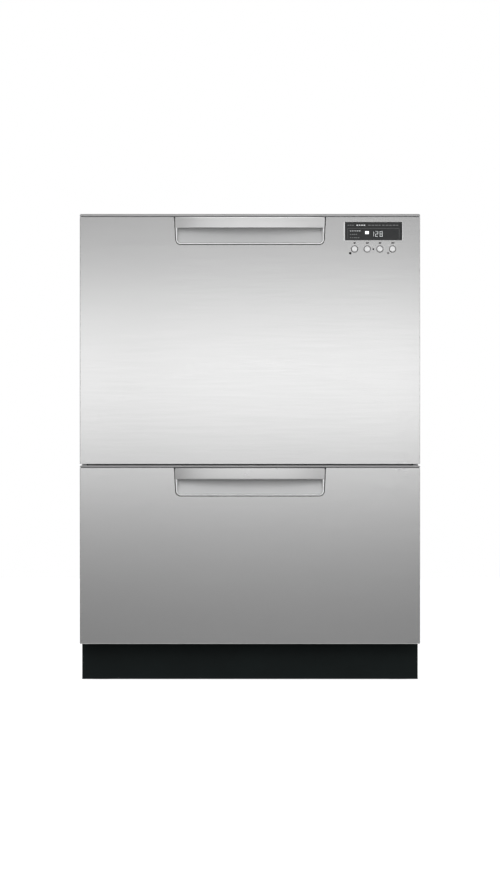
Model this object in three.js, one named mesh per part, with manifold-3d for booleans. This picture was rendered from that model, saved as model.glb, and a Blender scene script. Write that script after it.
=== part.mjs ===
// A two-drawer dishwasher: two wash drawers, one above the other, in one sheet-metal cabinet.
// Millimetres. +Z is up, the drawers open towards -Y, and the origin is the middle of the footprint
// on the floor.
import * as THREE from "three";
import { mergeVertices } from "three/addons/utils/BufferGeometryUtils.js";
import Module from "manifold-3d";

const wasm = await Module();
wasm.setup();

// ---------------------------------------------------------------- driving sizes

// Overall
const CABINET_WIDTH = 591;
const DEPTH = 573; // front face to rear panel
const TOE_SPACE = 62.6; // floor to the lower front
const LOWER_FRONT_HEIGHT = 314.8;
const UPPER_FRONT_HEIGHT = 439.4;
const FRONT_GAP = 2.2; // between the two fronts
const FRONT_OVERHANG = 4; // of each front past the cabinet's side
const FRONT_DEPTH = 20;
const FRONT_STANDOFF = 2; // between a front's back edge and the cabinet

// Fits
const SEAT = 0.3; // between two pieces that rest on each other
const SLIDE = 0.4; // between two pieces that move on each other
const SHEET = 1.2; // cabinet steel

// Cabinet
const FLANGE = 8; // folded in along the cabinet's front and rear edges
const TOP_DROP = 1; // cabinet top below the top of the upper front
const RAIL_HEIGHT = 32;
const RAIL_DEPTH = 28;
const BASE_HEIGHT = 20; // underside of the base plate above the floor
const BASE_SIDE_HEIGHT = 47;
const TOE_RECESS = 50; // toe kick behind the fronts
const KICK_LIFT = 0.4;
const BEAD_DEPTH = 4; // pressed beads of the rear panel
const BEAD_HEIGHT = 26;
const BEAD_COUNT = 5;
const INLET_X = [-222, -166]; // of the opening for the inlet valve

// Feet
const FOOT_RADIUS = 19;
const FOOT_STEM_RADIUS = 5;
const FOOT_TRAVEL = 45;
const FOOT_INSET_X = 34;
const FOOT_INSET_Y = 40;
const FOOT_BOSS_RADIUS = 11;
const FOOT_BOSS_HEIGHT = 15;

// Runners
const RUNNER_HEIGHT = 45;
const RUNNER_DEPTH = 12.7;
const RUNNER_SHEET = 1.2;
const RUNNER_DROP = 60; // runner centre below the tub's rim
const RUNNER_INSET = 4; // from each end of the tub

// Fronts
const SKIN = 1.2;
const CAP_HEIGHT = 4.8;
const CAP_SEAM = 0.7;
const CAP_ROUND = 3.6;
const CAP_CORNER = 3;
const FRAME_DEPTH = 17.5;
const FRAME_BORDER = 34;
const STANDOFF_COUNT = 4;
const STANDOFF_WIDTH = 14;

// Handle
const HANDLE_WIDTH = 265.8; // of the opening in the skin
const HANDLE_HEIGHT = 49.1;
const HANDLE_TAPER = 2.3; // each side, from top to bottom
const HANDLE_CORNER = 9;
const HANDLE_SEAM = 0.9;
const POCKET_DEPTH = 20;
const POCKET_RIM = 1.8;
const GRIP_HEIGHT = 18.9;
const GRIP_SHEET = 2.4;
const GRIP_BULGE = 10;
const GRIP_HEM = 5;

// Control panel on the upper front
const DISPLAY_X = 217.4;
const DISPLAY_WIDTH = 99.6;
const DISPLAY_HEIGHT = 31.2;
const DISPLAY_DROP = 14.3; // below the top of the front
const BUTTON_COUNT = 4;
const BUTTON_PITCH = 22.3;
const BUTTON_DROP = 61.7;
const BUTTON_RADIUS = 5.6;
const BUTTON_PROUD = 1.4;
const BUTTON_TRAVEL = 1.2;
const BUTTON_LENGTH = 9;
const CONTROL_CAVITY = 10; // depth behind the skin
const DISPLAY_BACK = 4; // how far the display reaches behind the skin

// Tub
const TUB_WALL = 3.5;
const TUB_FRONT_GAP = 6.5; // tub rim behind the cabinet's front edge
const HOSE_SPACE = 45; // tub rim to rear panel, for the hoses
const RIM_THICKNESS = 5;
const RIM_WIDTH_SIDE = 18;
const RIM_WIDTH_END = 11;
const TUB_CORNER = 42;
const TUB_DRAFT = 6; // each side, from rim to rack ledge
const LEDGE_WIDTH = 13;
const LEDGE_HEIGHT = 46; // above the underside of the tub floor
const WELL_RADIUS = 104;
const WELL_DEPTH = 18;
const MOTOR_RADIUS = 84;
const MOTOR_HEIGHT = 13;
const MOTOR_CLEARANCE = 8; // above whatever the drawer slides over

// Lid
const LID_LIFT = 12;
const LID_PLATE = 3;
const LID_WALL_HEIGHT = 10;
const SEAL_WIDTH = 8;
const SEAL_PROUD = 3;
const ACTUATOR_DEPTH = 8.5;
const ACTUATOR_LENGTH = 190;
const LID_PIN_RADIUS = 3;
const LID_PIN_SPACING = 130;
const LID_PIN_REACH = 5; // into the actuator
const LID_HEADROOM = 3.5; // above the raised lid

// Spray arm and filter
const ARM_HEIGHT = 12;
const ARM_WIDTH = 34;
const HUB_RADIUS = 24;
const SPINDLE_RADIUS = 9;
const SHOULDER = 8; // the arm's underside above the filter plate
const ROUND_SIDES = 16; // of the well, the filter plate and the motor
const FILTER_SLOTS = 8;

// Racks
const WIRE = 3.6;
const RIM_WIRE = 5;
const TINE_WIRE = 3.2;
const LAYER = 2.4; // the wires across lie this far above those along
const RACK_CROSS_WIRES = 6;
const RACK_LONG_WIRES = 2;
const RACK_INSET_X = 70; // of the outermost long wires from the rack's sides
const RACK_INSET_Y = 44; // of the outermost cross wires from its ends
const ROW_INSET = 26; // of a row of tines from the rack's ends
const FIXED_ROWS = [-214, -84];
const FOLDING_ROW = -149;
const TINE_PITCH = 46;
const UPPER_RACK_HEIGHT = 128;
const LOWER_RACK_HEIGHT = 88;
const TINE_HEIGHT = 74;
const CUP_RACK_WIDTH = 100;
const CUP_RACK_LENGTH = 250;

// Cutlery basket
const BASKET_X = 34; // its left side
const BASKET_WIDTH = 78;
const BASKET_LENGTH = 216;
const BASKET_HEIGHT = 104;
const BASKET_WALL = 2.2;
const BASKET_CELLS = 4;

// Detergent dispenser
const DISPENSER_WIDTH = 150;
const DISPENSER_HEIGHT = 66;
const DISPENSER_DEPTH = 16;
const DISPENSER_DROP = 32; // below the rim
const DOOR_X = -22;
const DOOR_WIDTH = 84;
const DOOR_SHEET = 2.4;
const DOOR_PIN_RADIUS = 1.6;

// ---------------------------------------------------------------- places that follow

const FRONT_WIDTH = CABINET_WIDTH + 2 * FRONT_OVERHANG;
const HEIGHT = TOE_SPACE + LOWER_FRONT_HEIGHT + FRONT_GAP + UPPER_FRONT_HEIGHT;
const FACE_Y = (GRIP_BULGE - DEPTH) / 2;
const REAR_Y = FACE_Y + DEPTH;
const CABINET_Y = FACE_Y + FRONT_DEPTH + FRONT_STANDOFF;
const CABINET_TOP = HEIGHT - TOP_DROP;
const SIDE_X = CABINET_WIDTH / 2;
const INNER_X = SIDE_X - SHEET;
const KICK_Y = FACE_Y + TOE_RECESS;
const KICK_TOP = BASE_HEIGHT + BASE_SIDE_HEIGHT - 1;

const TUB_FRONT = CABINET_Y + TUB_FRONT_GAP;
const TUB_REAR = REAR_Y - SHEET - HOSE_SPACE;
const TUB_Y = (TUB_FRONT + TUB_REAR) / 2;
const RIM_HALF_Y = (TUB_REAR - TUB_FRONT) / 2;
const ACTUATOR_X = INNER_X - SEAT - ACTUATOR_DEPTH; // the face that looks at the lid
const LID_HALF_X = ACTUATOR_X - 1.5;
const RIM_HALF_X = LID_HALF_X - 1;
const TUB_HALF_X = RIM_HALF_X - RIM_WIDTH_SIDE; // inside, at the rim
const TUB_HALF_Y = RIM_HALF_Y - RIM_WIDTH_END;
const LEDGE_HALF_X = TUB_HALF_X - TUB_DRAFT;
const FLOOR_HALF_X = LEDGE_HALF_X - LEDGE_WIDTH;
const FLOOR_HALF_Y = TUB_HALF_Y - LEDGE_WIDTH;
const RUNNER_X = INNER_X - RUNNER_DEPTH; // the face that carries the tub
const RUNNER_FRONT = TUB_FRONT + RUNNER_INSET;
const RUNNER_REAR = TUB_REAR - RUNNER_INSET;
const UNDER_TUB = WELL_DEPTH + SEAT + MOTOR_HEIGHT; // from the tub's underside to the motor's

const LID_STACK = SEAT + LID_LIFT + SEAL_PROUD + LID_WALL_HEIGHT; // rim to the top of the raised lid
const LOWER_FRONT_TOP = TOE_SPACE + LOWER_FRONT_HEIGHT;
const LOWER_RIM = LOWER_FRONT_TOP - SEAL_PROUD - LID_PLATE - RIM_THICKNESS;
const RAIL_BOTTOM = LOWER_RIM + LID_STACK + LID_HEADROOM + RIM_THICKNESS;
const RAIL_TOP = RAIL_BOTTOM + RAIL_HEIGHT;

const UPPER = {
  name: "upper",
  bottom: LOWER_FRONT_TOP + FRONT_GAP,
  top: HEIGHT,
  rim: CABINET_TOP - SHEET - LID_HEADROOM - LID_STACK,
  floor: RAIL_TOP + MOTOR_CLEARANCE + UNDER_TUB,
  rackHeight: UPPER_RACK_HEIGHT,
  controls: true,
};
const LOWER = {
  name: "lower",
  bottom: TOE_SPACE,
  top: LOWER_FRONT_TOP,
  rim: LOWER_RIM,
  floor: KICK_TOP + 1 + MOTOR_CLEARANCE + UNDER_TUB,
  rackHeight: LOWER_RACK_HEIGHT,
  controls: false,
};
const rackFloorOf = (drawer) => drawer.floor + LEDGE_HEIGHT + SEAT + WIRE / 2 + LAYER;
const runnerOf = (drawer) => drawer.rim - RUNNER_DROP;

// ---------------------------------------------------------------- materials

const finish = (color, roughness, metalness) =>
  new THREE.MeshStandardMaterial({ color, roughness, metalness });
const STAINLESS = finish(0xc9c9c7, 0.32, 1);
const POLISHED = finish(0xd2d2d0, 0.22, 1);
const GALVANISED = finish(0x9b9ea1, 0.5, 0.9);
const RUNNER_STEEL = finish(0xb4b6b8, 0.35, 1);
const BLACK_PAINT = finish(0x15181a, 0.5, 0.1);
const SILVER_PLASTIC = finish(0xa9aaab, 0.4, 0.3);
const TUB_PLASTIC = finish(0xd6d8d8, 0.4, 0);
const DARK_PLASTIC = finish(0x3a3d40, 0.5, 0);
const RACK_COAT = finish(0x9fa4a8, 0.4, 0.1);
const SEAL_RUBBER = finish(0x4a4c4e, 0.7, 0);
const GLASS = finish(0x202224, 0.1, 0);

// ---------------------------------------------------------------- making solids

// A closed geometry as a solid that can be joined and cut.
function solidOf(geometry) {
  const source = geometry.index ? geometry.toNonIndexed() : geometry;
  const bare = new THREE.BufferGeometry();
  bare.setAttribute("position", source.getAttribute("position"));
  const merged = mergeVertices(bare, 1e-4);
  return new wasm.Manifold(
    new wasm.Mesh({
      numProp: 3,
      vertProperties: merged.attributes.position.array,
      triVerts: new Uint32Array(merged.index.array),
    }),
  );
}

function geometryOf(solid) {
  const mesh = solid.getMesh();
  const geometry = new THREE.BufferGeometry();
  geometry.setAttribute("position", new THREE.BufferAttribute(mesh.vertProperties, 3));
  geometry.setIndex(new THREE.BufferAttribute(mesh.triVerts, 1));
  const flat = geometry.toNonIndexed();
  flat.computeVertexNormals();
  return flat;
}

const union = (solids) => solids.reduce((sum, next) => sum.add(next));
const cut = (solid, tools) => tools.reduce((rest, tool) => rest.subtract(tool), solid);
const times = (count, make) => Array.from({ length: count }, (_, i) => make(i));
// count values spread evenly from first to last
const spread = (count, first, last) =>
  times(count, (i) => first + ((last - first) * i) / Math.max(1, count - 1));

function box(x0, x1, y0, y1, z0, z1) {
  const geometry = new THREE.BoxGeometry(Math.abs(x1 - x0), Math.abs(y1 - y0), Math.abs(z1 - z0));
  geometry.translate((x0 + x1) / 2, (y0 + y1) / 2, (z0 + z1) / 2);
  return solidOf(geometry);
}

const outline = (points) => new THREE.Shape(points.map(([u, v]) => new THREE.Vector2(u, v)));

// A rectangle with round corners, centred on (u, v).
function roundedRectangle(halfU, halfV, radius, u = 0, v = 0) {
  const r = Math.max(0.05, Math.min(radius, halfU - 0.01, halfV - 0.01));
  const shape = new THREE.Shape();
  shape.absarc(u + halfU - r, v - halfV + r, r, -Math.PI / 2, 0);
  shape.absarc(u + halfU - r, v + halfV - r, r, 0, Math.PI / 2);
  shape.absarc(u - halfU + r, v + halfV - r, r, Math.PI / 2, Math.PI);
  shape.absarc(u - halfU + r, v - halfV + r, r, Math.PI, Math.PI * 1.5);
  return shape;
}

const X = new THREE.Vector3(1, 0, 0);
const Y = new THREE.Vector3(0, 1, 0);
const Z = new THREE.Vector3(0, 0, 1);
const PLANES = {
  x: new THREE.Matrix4().makeBasis(Y, Z, X), // drawn in y and z, runs along x
  y: new THREE.Matrix4().makeBasis(X, Z, Y.clone().negate()), // drawn in x and z
  z: new THREE.Matrix4(),
};

// A flat shape, drawn across one axis and run along it.
function prism(shape, axis, from, to, curveSegments = 2) {
  const depth = to - from;
  const geometry = new THREE.ExtrudeGeometry(shape, { depth, bevelEnabled: false, curveSegments });
  geometry.applyMatrix4(PLANES[axis]);
  geometry.translate(axis === "x" ? from : 0, axis === "y" ? to : 0, axis === "z" ? from : 0);
  return solidOf(geometry);
}

// A round bar along one axis, centred on (u, v) of the other two in X, Y, Z order.
function bar(axis, u, v, from, to, radius, sides = 12) {
  const shape = new THREE.Shape().absarc(u, v, radius, 0, Math.PI * 2);
  return prism(shape, axis, from, to, sides / 2);
}

// A solid of revolution about Z, from [radius, z] pairs that start and end on the axis.
function turned(profile, sides) {
  const points = profile.map(([radius, z]) => new THREE.Vector2(radius, z));
  const geometry = new THREE.LatheGeometry(points, sides);
  geometry.rotateX(Math.PI / 2);
  return solidOf(geometry);
}

// A skin through level loops of equally many points. Its ends are filled in, or where it is a ring
// the last loop is joined to the first.
function loft(loops, ring = false) {
  const points = loops.flat();
  const count = loops[0].length;
  const last = points.length - count;
  const faces = [];
  for (let start = 0; start < (ring ? points.length : last); start += count)
    for (let i = 0; i < count; i++) {
      const next = (i + 1) % count;
      const above = (start + count) % points.length;
      faces.push(start + i, start + next, above + next, start + i, above + next, above + i);
    }
  for (let i = 1; i + 1 < count && !ring; i++)
    faces.push(0, i + 1, i, last, last + i, last + i + 1);
  const geometry = new THREE.BufferGeometry().setFromPoints(points);
  geometry.setIndex(faces);
  return solidOf(geometry);
}

// A level loop for a loft: a rounded rectangle at height z.
function loop(halfX, halfY, radius, y, z, segments = 1.5) {
  const points = roundedRectangle(halfX, halfY, radius, 0, y).getPoints(segments);
  return points.map((p) => new THREE.Vector3(p.x, p.y, z));
}

// The line of a bent wire. Its parameter steps from bend to bend, so straights stay one piece.
class WireLine extends THREE.Curve {
  constructor(points) {
    super();
    this.points = points.map(([x, y, z]) => new THREE.Vector3(x, y, z));
  }
  getPoint(t) {
    const at = t * (this.points.length - 1);
    const i = Math.min(Math.floor(at + 1e-9), this.points.length - 2);
    return this.points[i].clone().lerp(this.points[i + 1], at - i);
  }
  getTangent(t) {
    const i = Math.round(t * (this.points.length - 1));
    const here = this.points[i];
    const before = this.points[i - 1] ?? here;
    const after = this.points[i + 1] ?? here;
    const arriving = here.clone().sub(before).normalize();
    return after.clone().sub(here).normalize().add(arriving).normalize();
  }
  getUtoTmapping(u) {
    return u;
  }
}

function wire(points, diameter, sides = 6) {
  const section = new THREE.Shape().absarc(0, 0, diameter / 2, 0, Math.PI * 2);
  const geometry = new THREE.ExtrudeGeometry(section, {
    steps: points.length - 1,
    extrudePath: new WireLine(points),
    curveSegments: sides / 2,
  });
  return solidOf(geometry);
}

// A closed wire loop: a rounded rectangle at height z.
function wireLoop(halfX, halfY, radius, y, z, diameter, sides = 6) {
  const loops = times(sides, (i) => {
    const angle = (Math.PI * 2 * i) / sides;
    const out = (Math.cos(angle) * diameter) / 2;
    const up = (Math.sin(angle) * diameter) / 2;
    return loop(halfX + out, halfY + out, radius + out, y, z + up);
  });
  return loft(loops, true);
}

function part(name, solid, material, place = [0, 0, 0]) {
  const mesh = new THREE.Mesh(geometryOf(solid), material);
  mesh.name = name;
  mesh.position.set(...place);
  return mesh;
}

const SIDES = { left: -1, right: 1 };
const bothSides = (make) => Object.entries(SIDES).map(([label, side]) => make(label, side));

// ---------------------------------------------------------------- cabinet

// The fixed member of a runner: a channel with hooked lips that opens towards the tub.
function runnerChannel(side, z) {
  const half = RUNNER_HEIGHT / 2;
  const lip = RUNNER_DEPTH - SLIDE - RUNNER_SHEET;
  const u = (depth) => side * (INNER_X - depth);
  const arm = (up) => [
    [lip + 0.8, up * (half - 2.7)],
    [lip, up * (half - 2.7)],
    [lip, up * (half - RUNNER_SHEET)],
  ];
  const section = [
    [-0.1, half],
    [lip + 0.8, half],
    ...arm(1),
    [RUNNER_SHEET, half - RUNNER_SHEET],
    [RUNNER_SHEET, RUNNER_SHEET - half],
    ...arm(-1).reverse(),
    [lip + 0.8, -half],
    [-0.1, -half],
  ].map(([depth, height]) => [u(depth), z + height]);
  return prism(outline(section), "y", RUNNER_FRONT, RUNNER_REAR);
}

// A cabinet side: one folded sheet with the toe notch, and the fixed runner members welded on.
function sidePanel(label, side) {
  const x = (depth) => side * (SIDE_X - depth);
  const section = outline([
    [x(0), CABINET_Y],
    [x(FLANGE), CABINET_Y],
    [x(FLANGE), CABINET_Y + SHEET],
    [x(SHEET), CABINET_Y + SHEET],
    [x(SHEET), REAR_Y - SHEET],
    [x(FLANGE), REAR_Y - SHEET],
    [x(FLANGE), REAR_Y],
    [x(0), REAR_Y],
  ]);
  const sheet = prism(section, "z", BASE_HEIGHT, CABINET_TOP);
  const toe = box(x(-1), x(FLANGE + 1), CABINET_Y - 1, KICK_Y + SHEET + SEAT, 0, KICK_TOP + 1);
  const passages = [UPPER, LOWER].map((drawer) => {
    const half = RUNNER_HEIGHT / 2 + 2;
    const z = runnerOf(drawer);
    return box(x(SHEET), x(FLANGE + 1), CABINET_Y - 1, CABINET_Y + SHEET + 1, z - half, z + half);
  });
  const channels = [UPPER, LOWER].map((drawer) => runnerChannel(side, runnerOf(drawer)));
  const solid = union([cut(sheet, [toe, ...passages]), ...channels]);
  return part(`side_panel_${label}`, solid, GALVANISED);
}

// The top: a sheet with its front and rear edges folded down, and two tabs for the worktop screws.
function topPanel() {
  const half = INNER_X - SEAT;
  const front = CABINET_Y + SHEET + SEAT;
  const rear = REAR_Y - SHEET - SEAT;
  const drop = 16;
  const section = outline([
    [front, CABINET_TOP],
    [rear, CABINET_TOP],
    [rear, CABINET_TOP - drop],
    [rear - SHEET, CABINET_TOP - drop],
    [rear - SHEET, CABINET_TOP - SHEET],
    [front + SHEET, CABINET_TOP - SHEET],
    [front + SHEET, CABINET_TOP - drop],
    [front, CABINET_TOP - drop],
  ]);
  const slots = [-200, 200].map((x) =>
    prism(roundedRectangle(9, 3, 3, x, front + 24), "z", CABINET_TOP - 2, CABINET_TOP + 1, 1),
  );
  return part("top_panel", cut(prism(section, "x", -half, half), slots), GALVANISED);
}

// The rear: a sheet stiffened by pressed beads that run across it.
function rearPanel() {
  const bottom = BASE_HEIGHT + BASE_SIDE_HEIGHT + 30;
  const top = CABINET_TOP - 20;
  const outer = REAR_Y - SHEET - SEAT;
  const pitch = (top - bottom) / BEAD_COUNT;
  const bead = (i) => {
    const z = bottom + pitch * (i + 0.5);
    return [
      [outer, z - BEAD_HEIGHT / 2],
      [outer - BEAD_DEPTH, z - BEAD_HEIGHT / 2 + BEAD_DEPTH],
      [outer - BEAD_DEPTH, z + BEAD_HEIGHT / 2 - BEAD_DEPTH],
      [outer, z + BEAD_HEIGHT / 2],
    ];
  };
  const line = [[outer, bottom], ...times(BEAD_COUNT, bead).flat(), [outer, top]];
  const back = line.map(([y, z]) => [y - SHEET, z]).reverse();
  const half = INNER_X - SEAT;
  return part("rear_panel", prism(outline([...line, ...back]), "x", -half, half), GALVANISED);
}

// The rail between the two bays: a sheet channel just behind the cabinet's front flanges.
function centreRail() {
  const front = CABINET_Y + SHEET + SEAT;
  const section = outline([
    [front, RAIL_BOTTOM],
    [front + RAIL_DEPTH, RAIL_BOTTOM],
    [front + RAIL_DEPTH, RAIL_BOTTOM + SHEET],
    [front + SHEET, RAIL_BOTTOM + SHEET],
    [front + SHEET, RAIL_TOP - SHEET],
    [front + RAIL_DEPTH, RAIL_TOP - SHEET],
    [front + RAIL_DEPTH, RAIL_TOP],
    [front, RAIL_TOP],
  ]);
  return part("centre_rail", prism(section, "x", SEAT - INNER_X, INNER_X - SEAT), GALVANISED);
}

const FOOT_X = INNER_X - FOOT_INSET_X;
const FOOT_FRONT_Y = KICK_Y + FOOT_INSET_Y;
const FOOT_REAR_Y = REAR_Y - FOOT_INSET_Y;

// The base: a pan with its front and rear edges folded up, and a threaded boss for each foot.
function baseTray() {
  const front = KICK_Y + SHEET + 2 * SEAT;
  const rear = REAR_Y - SHEET - SEAT;
  const half = INNER_X - SEAT;
  const top = BASE_HEIGHT + BASE_SIDE_HEIGHT;
  const section = outline([
    [front, BASE_HEIGHT],
    [rear, BASE_HEIGHT],
    [rear, top],
    [rear - SHEET, top],
    [rear - SHEET, BASE_HEIGHT + SHEET],
    [front + SHEET, BASE_HEIGHT + SHEET],
    [front + SHEET, top],
    [front, top],
  ]);
  const feet = [-FOOT_X, FOOT_X].flatMap((x) => [FOOT_FRONT_Y, FOOT_REAR_Y].map((y) => [x, y]));
  const bosses = feet.map(([x, y]) =>
    bar("z", x, y, BASE_HEIGHT, BASE_HEIGHT + FOOT_BOSS_HEIGHT, FOOT_BOSS_RADIUS, 6),
  );
  const stems = feet.map(([x, y]) => bar("z", x, y, 0, top, FOOT_STEM_RADIUS + SLIDE, 8));
  const inlet = box(...INLET_X, rear - 2 * SHEET, rear + SHEET, BASE_HEIGHT + 8, top + 1);
  const tray = union([prism(section, "x", -half, half), ...bosses]);
  return part("base_tray", cut(tray, [...stems, inlet]), GALVANISED);
}

// The water inlet valve: a solenoid body on the base, with its threaded spigot facing the rear.
function inletValve() {
  const [left, right] = INLET_X;
  const x = (left + right) / 2;
  const bottom = BASE_HEIGHT + SHEET + SEAT;
  const spigotZ = bottom + 24;
  const rear = REAR_Y - SHEET - SEAT;
  const body = box(left + 8, right - 8, rear - 46, rear - 14, bottom, bottom + 30);
  const coil = bar("z", x, rear - 34, bottom + 29, bottom + 50, 13, 10);
  const spigot = bar("y", x, spigotZ, rear - 20, rear + SHEET, 12, 12);
  const collar = bar("y", x, spigotZ, rear - 18, rear - 12, 16, 6);
  const bore = bar("y", x, spigotZ, rear - 10, rear + 5, 8, 10);
  return part("inlet_valve", cut(union([body, coil, spigot, collar]), [bore]), DARK_PLASTIC);
}

// The toe kick: a folded black panel across the recessed base.
function toeKick() {
  const back = KICK_Y + 14;
  const section = outline([
    [KICK_Y, KICK_LIFT],
    [KICK_Y + SHEET, KICK_LIFT],
    [KICK_Y + SHEET, KICK_TOP],
    [KICK_Y, KICK_TOP],
  ]);
  const face = prism(section, "x", -SIDE_X, SIDE_X);
  const foot = box(-SIDE_X, SIDE_X, KICK_Y, back, KICK_LIFT, KICK_LIFT + SHEET);
  const ends = bothSides((label, side) =>
    box(side * SIDE_X, side * (SIDE_X - SHEET), KICK_Y, back, KICK_LIFT, BASE_HEIGHT - 1),
  );
  return part("toe_kick", union([face, foot, ...ends]), BLACK_PAINT);
}

// A levelling foot, built about its own stem with its pad on the floor.
function foot(name, x, y) {
  const pad = turned(
    [
      [0, 0],
      [FOOT_RADIUS - 1.5, 0],
      [FOOT_RADIUS, 1.5],
      [FOOT_RADIUS, 5],
      [FOOT_STEM_RADIUS + 5, 9],
      [0, 9],
    ],
    12,
  );
  const hex = bar("z", 0, 0, 8, BASE_HEIGHT - SEAT, FOOT_STEM_RADIUS + 5, 6);
  const stemTop = BASE_HEIGHT + FOOT_BOSS_HEIGHT + FOOT_TRAVEL + 3;
  const stem = bar("z", 0, 0, 8, stemTop, FOOT_STEM_RADIUS, 8);
  return part(name, union([pad, hex, stem]), DARK_PLASTIC, [x, y, 0]);
}

// One of the two brackets that lift a lid: a slim motor housing with a slot for each lid pin.
function lidActuator(drawer, label, side) {
  const pinZ = lidPlateOf(drawer) + LID_WALL_HEIGHT / 2;
  const bottom = pinZ - LID_LIFT - LID_PIN_RADIUS - SLIDE - 3;
  const top = pinZ + LID_PIN_RADIUS + SLIDE + 2;
  const height = top - bottom;
  const face = roundedRectangle(ACTUATOR_LENGTH / 2, height / 2, 3, TUB_Y, bottom + height / 2);
  const [from, to] = side > 0 ? [ACTUATOR_X, INNER_X - SEAT] : [SEAT - INNER_X, -ACTUATOR_X];
  const plate = prism(face, "x", from, to, 0.5);
  const slotHalf = (LID_LIFT + 2 * LID_PIN_RADIUS) / 2 + SLIDE;
  const slots = [-1, 1].map((end) => {
    const y = TUB_Y + (end * LID_PIN_SPACING) / 2;
    const half = LID_PIN_RADIUS + SLIDE;
    const shape = roundedRectangle(half, slotHalf, half, y, pinZ - LID_LIFT / 2);
    const inner = side * (ACTUATOR_X - 1);
    const outer = side * (ACTUATOR_X + LID_PIN_REACH + 1);
    return prism(shape, "x", Math.min(inner, outer), Math.max(inner, outer), 1);
  });
  return part(`${drawer.name}_lid_actuator_${label}`, cut(plate, slots), DARK_PLASTIC);
}

// ---------------------------------------------------------------- lid

const lidPlateOf = (drawer) => drawer.rim + SEAT + LID_LIFT + SEAL_PROUD;

function lid(drawer) {
  const bottom = lidPlateOf(drawer);
  const top = bottom + LID_WALL_HEIGHT;
  const halfY = RIM_HALF_Y - 1;
  const walls = 2.5;
  const plan = (inset) =>
    roundedRectangle(LID_HALF_X - inset, halfY - inset, TUB_CORNER - inset, 0, TUB_Y);
  const body = prism(plan(0), "z", bottom, top, 1.5);
  const columns = 3;
  const rows = 2;
  const cellX = (2 * LID_HALF_X - walls * (columns + 1)) / columns;
  const cellY = (2 * halfY - walls * (rows + 1)) / rows;
  const inside = prism(plan(walls), "z", bottom + LID_PLATE, top + 1, 1.5);
  const cells = times(columns * rows, (i) => {
    const x = -LID_HALF_X + walls + (i % columns) * (cellX + walls);
    const y = TUB_Y - halfY + walls + Math.floor(i / columns) * (cellY + walls);
    return box(x, x + cellX, y, y + cellY, bottom + LID_PLATE, top + 1).intersect(inside);
  });
  const pins = [-1, 1].flatMap((end) =>
    bothSides((label, side) => {
      const y = TUB_Y + (end * LID_PIN_SPACING) / 2;
      const z = bottom + LID_WALL_HEIGHT / 2;
      const reach = [side * (LID_HALF_X - 1), side * (ACTUATOR_X + LID_PIN_REACH)];
      return bar("x", y, z, Math.min(...reach), Math.max(...reach), LID_PIN_RADIUS, 8);
    }),
  );
  const groove = sealRing(bottom - 1, bottom + 1.2, SEAT);
  const solid = cut(union([cut(body, cells), ...pins]), [groove]);
  return part(`${drawer.name}_lid`, solid, TUB_PLASTIC);
}

// A ring that follows the middle of the tub's rim.
function sealRing(bottom, top, margin) {
  const halfX = RIM_HALF_X - RIM_WIDTH_SIDE / 2 + 2;
  const halfY = RIM_HALF_Y - RIM_WIDTH_END / 2;
  const reach = SEAL_WIDTH / 2 + margin;
  const ring = roundedRectangle(halfX + reach, halfY + reach, TUB_CORNER, 0, TUB_Y);
  ring.holes.push(roundedRectangle(halfX - reach, halfY - reach, TUB_CORNER - 2 * reach, 0, TUB_Y));
  return prism(ring, "z", bottom, top, 1.5);
}

// The gasket in the lid's groove: a foot in the groove and a narrower bulb that meets the rim.
function lidSeal(drawer) {
  const plate = lidPlateOf(drawer);
  const foot = sealRing(plate - 1.4, plate + 1.2 - SEAT, 0);
  const bulb = sealRing(plate - SEAL_PROUD, plate - 1.2, -1.2);
  return part(`${drawer.name}_lid_seal`, foot.add(bulb), SEAL_RUBBER);
}

// ---------------------------------------------------------------- runners

// The member that slides in the fixed channel.
function runnerMiddle(drawer, label, side) {
  const half = RUNNER_HEIGHT / 2 - RUNNER_SHEET - SLIDE;
  const near = RUNNER_SHEET + SLIDE;
  const far = RUNNER_DEPTH - 2 * SLIDE - RUNNER_SHEET - 0.1;
  const name = `${drawer.name}_runner_middle_${label}`;
  return channel(name, side, runnerOf(drawer), half, near, far, false);
}

// The member that carries the tub.
function runnerInner(drawer, label, side) {
  const half = RUNNER_HEIGHT / 2 - 2 * (RUNNER_SHEET + SLIDE);
  const near = 2 * (RUNNER_SHEET + SLIDE);
  const name = `${drawer.name}_runner_inner_${label}`;
  return channel(name, side, runnerOf(drawer), half, near, RUNNER_DEPTH, true);
}

// A C section from depth near to depth far off the cabinet's side. Its web is at the near depth, or
// at the far depth where it faces the tub.
function channel(name, side, z, half, near, far, webAtFar) {
  const web = webAtFar ? far : near;
  const tip = webAtFar ? near : far;
  const inside = webAtFar ? web - RUNNER_SHEET : web + RUNNER_SHEET;
  const section = [
    [web, -half],
    [tip, -half],
    [tip, RUNNER_SHEET - half],
    [inside, RUNNER_SHEET - half],
    [inside, half - RUNNER_SHEET],
    [tip, half - RUNNER_SHEET],
    [tip, half],
    [web, half],
  ].map(([depth, height]) => [side * (INNER_X - depth), z + height]);
  return part(name, prism(outline(section), "y", RUNNER_FRONT, RUNNER_REAR), RUNNER_STEEL);
}

// ---------------------------------------------------------------- drawer fronts

// The outline of the handle opening, shrunk by inset: wide at the top, with round lower corners.
function handleOutline(drawer, inset) {
  const top = drawer.top - CAP_HEIGHT + 0.3 - inset;
  const bottom = drawer.top - CAP_HEIGHT - HANDLE_HEIGHT + inset;
  const half = HANDLE_WIDTH / 2 - inset;
  const low = half - HANDLE_TAPER;
  const r = HANDLE_CORNER - inset;
  const shape = new THREE.Shape();
  shape.moveTo(-half, top);
  shape.lineTo(-low, bottom + r);
  shape.absarc(-low + r, bottom + r, r, Math.PI, Math.PI * 1.5);
  shape.absarc(low - r, bottom + r, r, -Math.PI / 2, 0);
  shape.lineTo(half, top);
  return shape;
}

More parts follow.
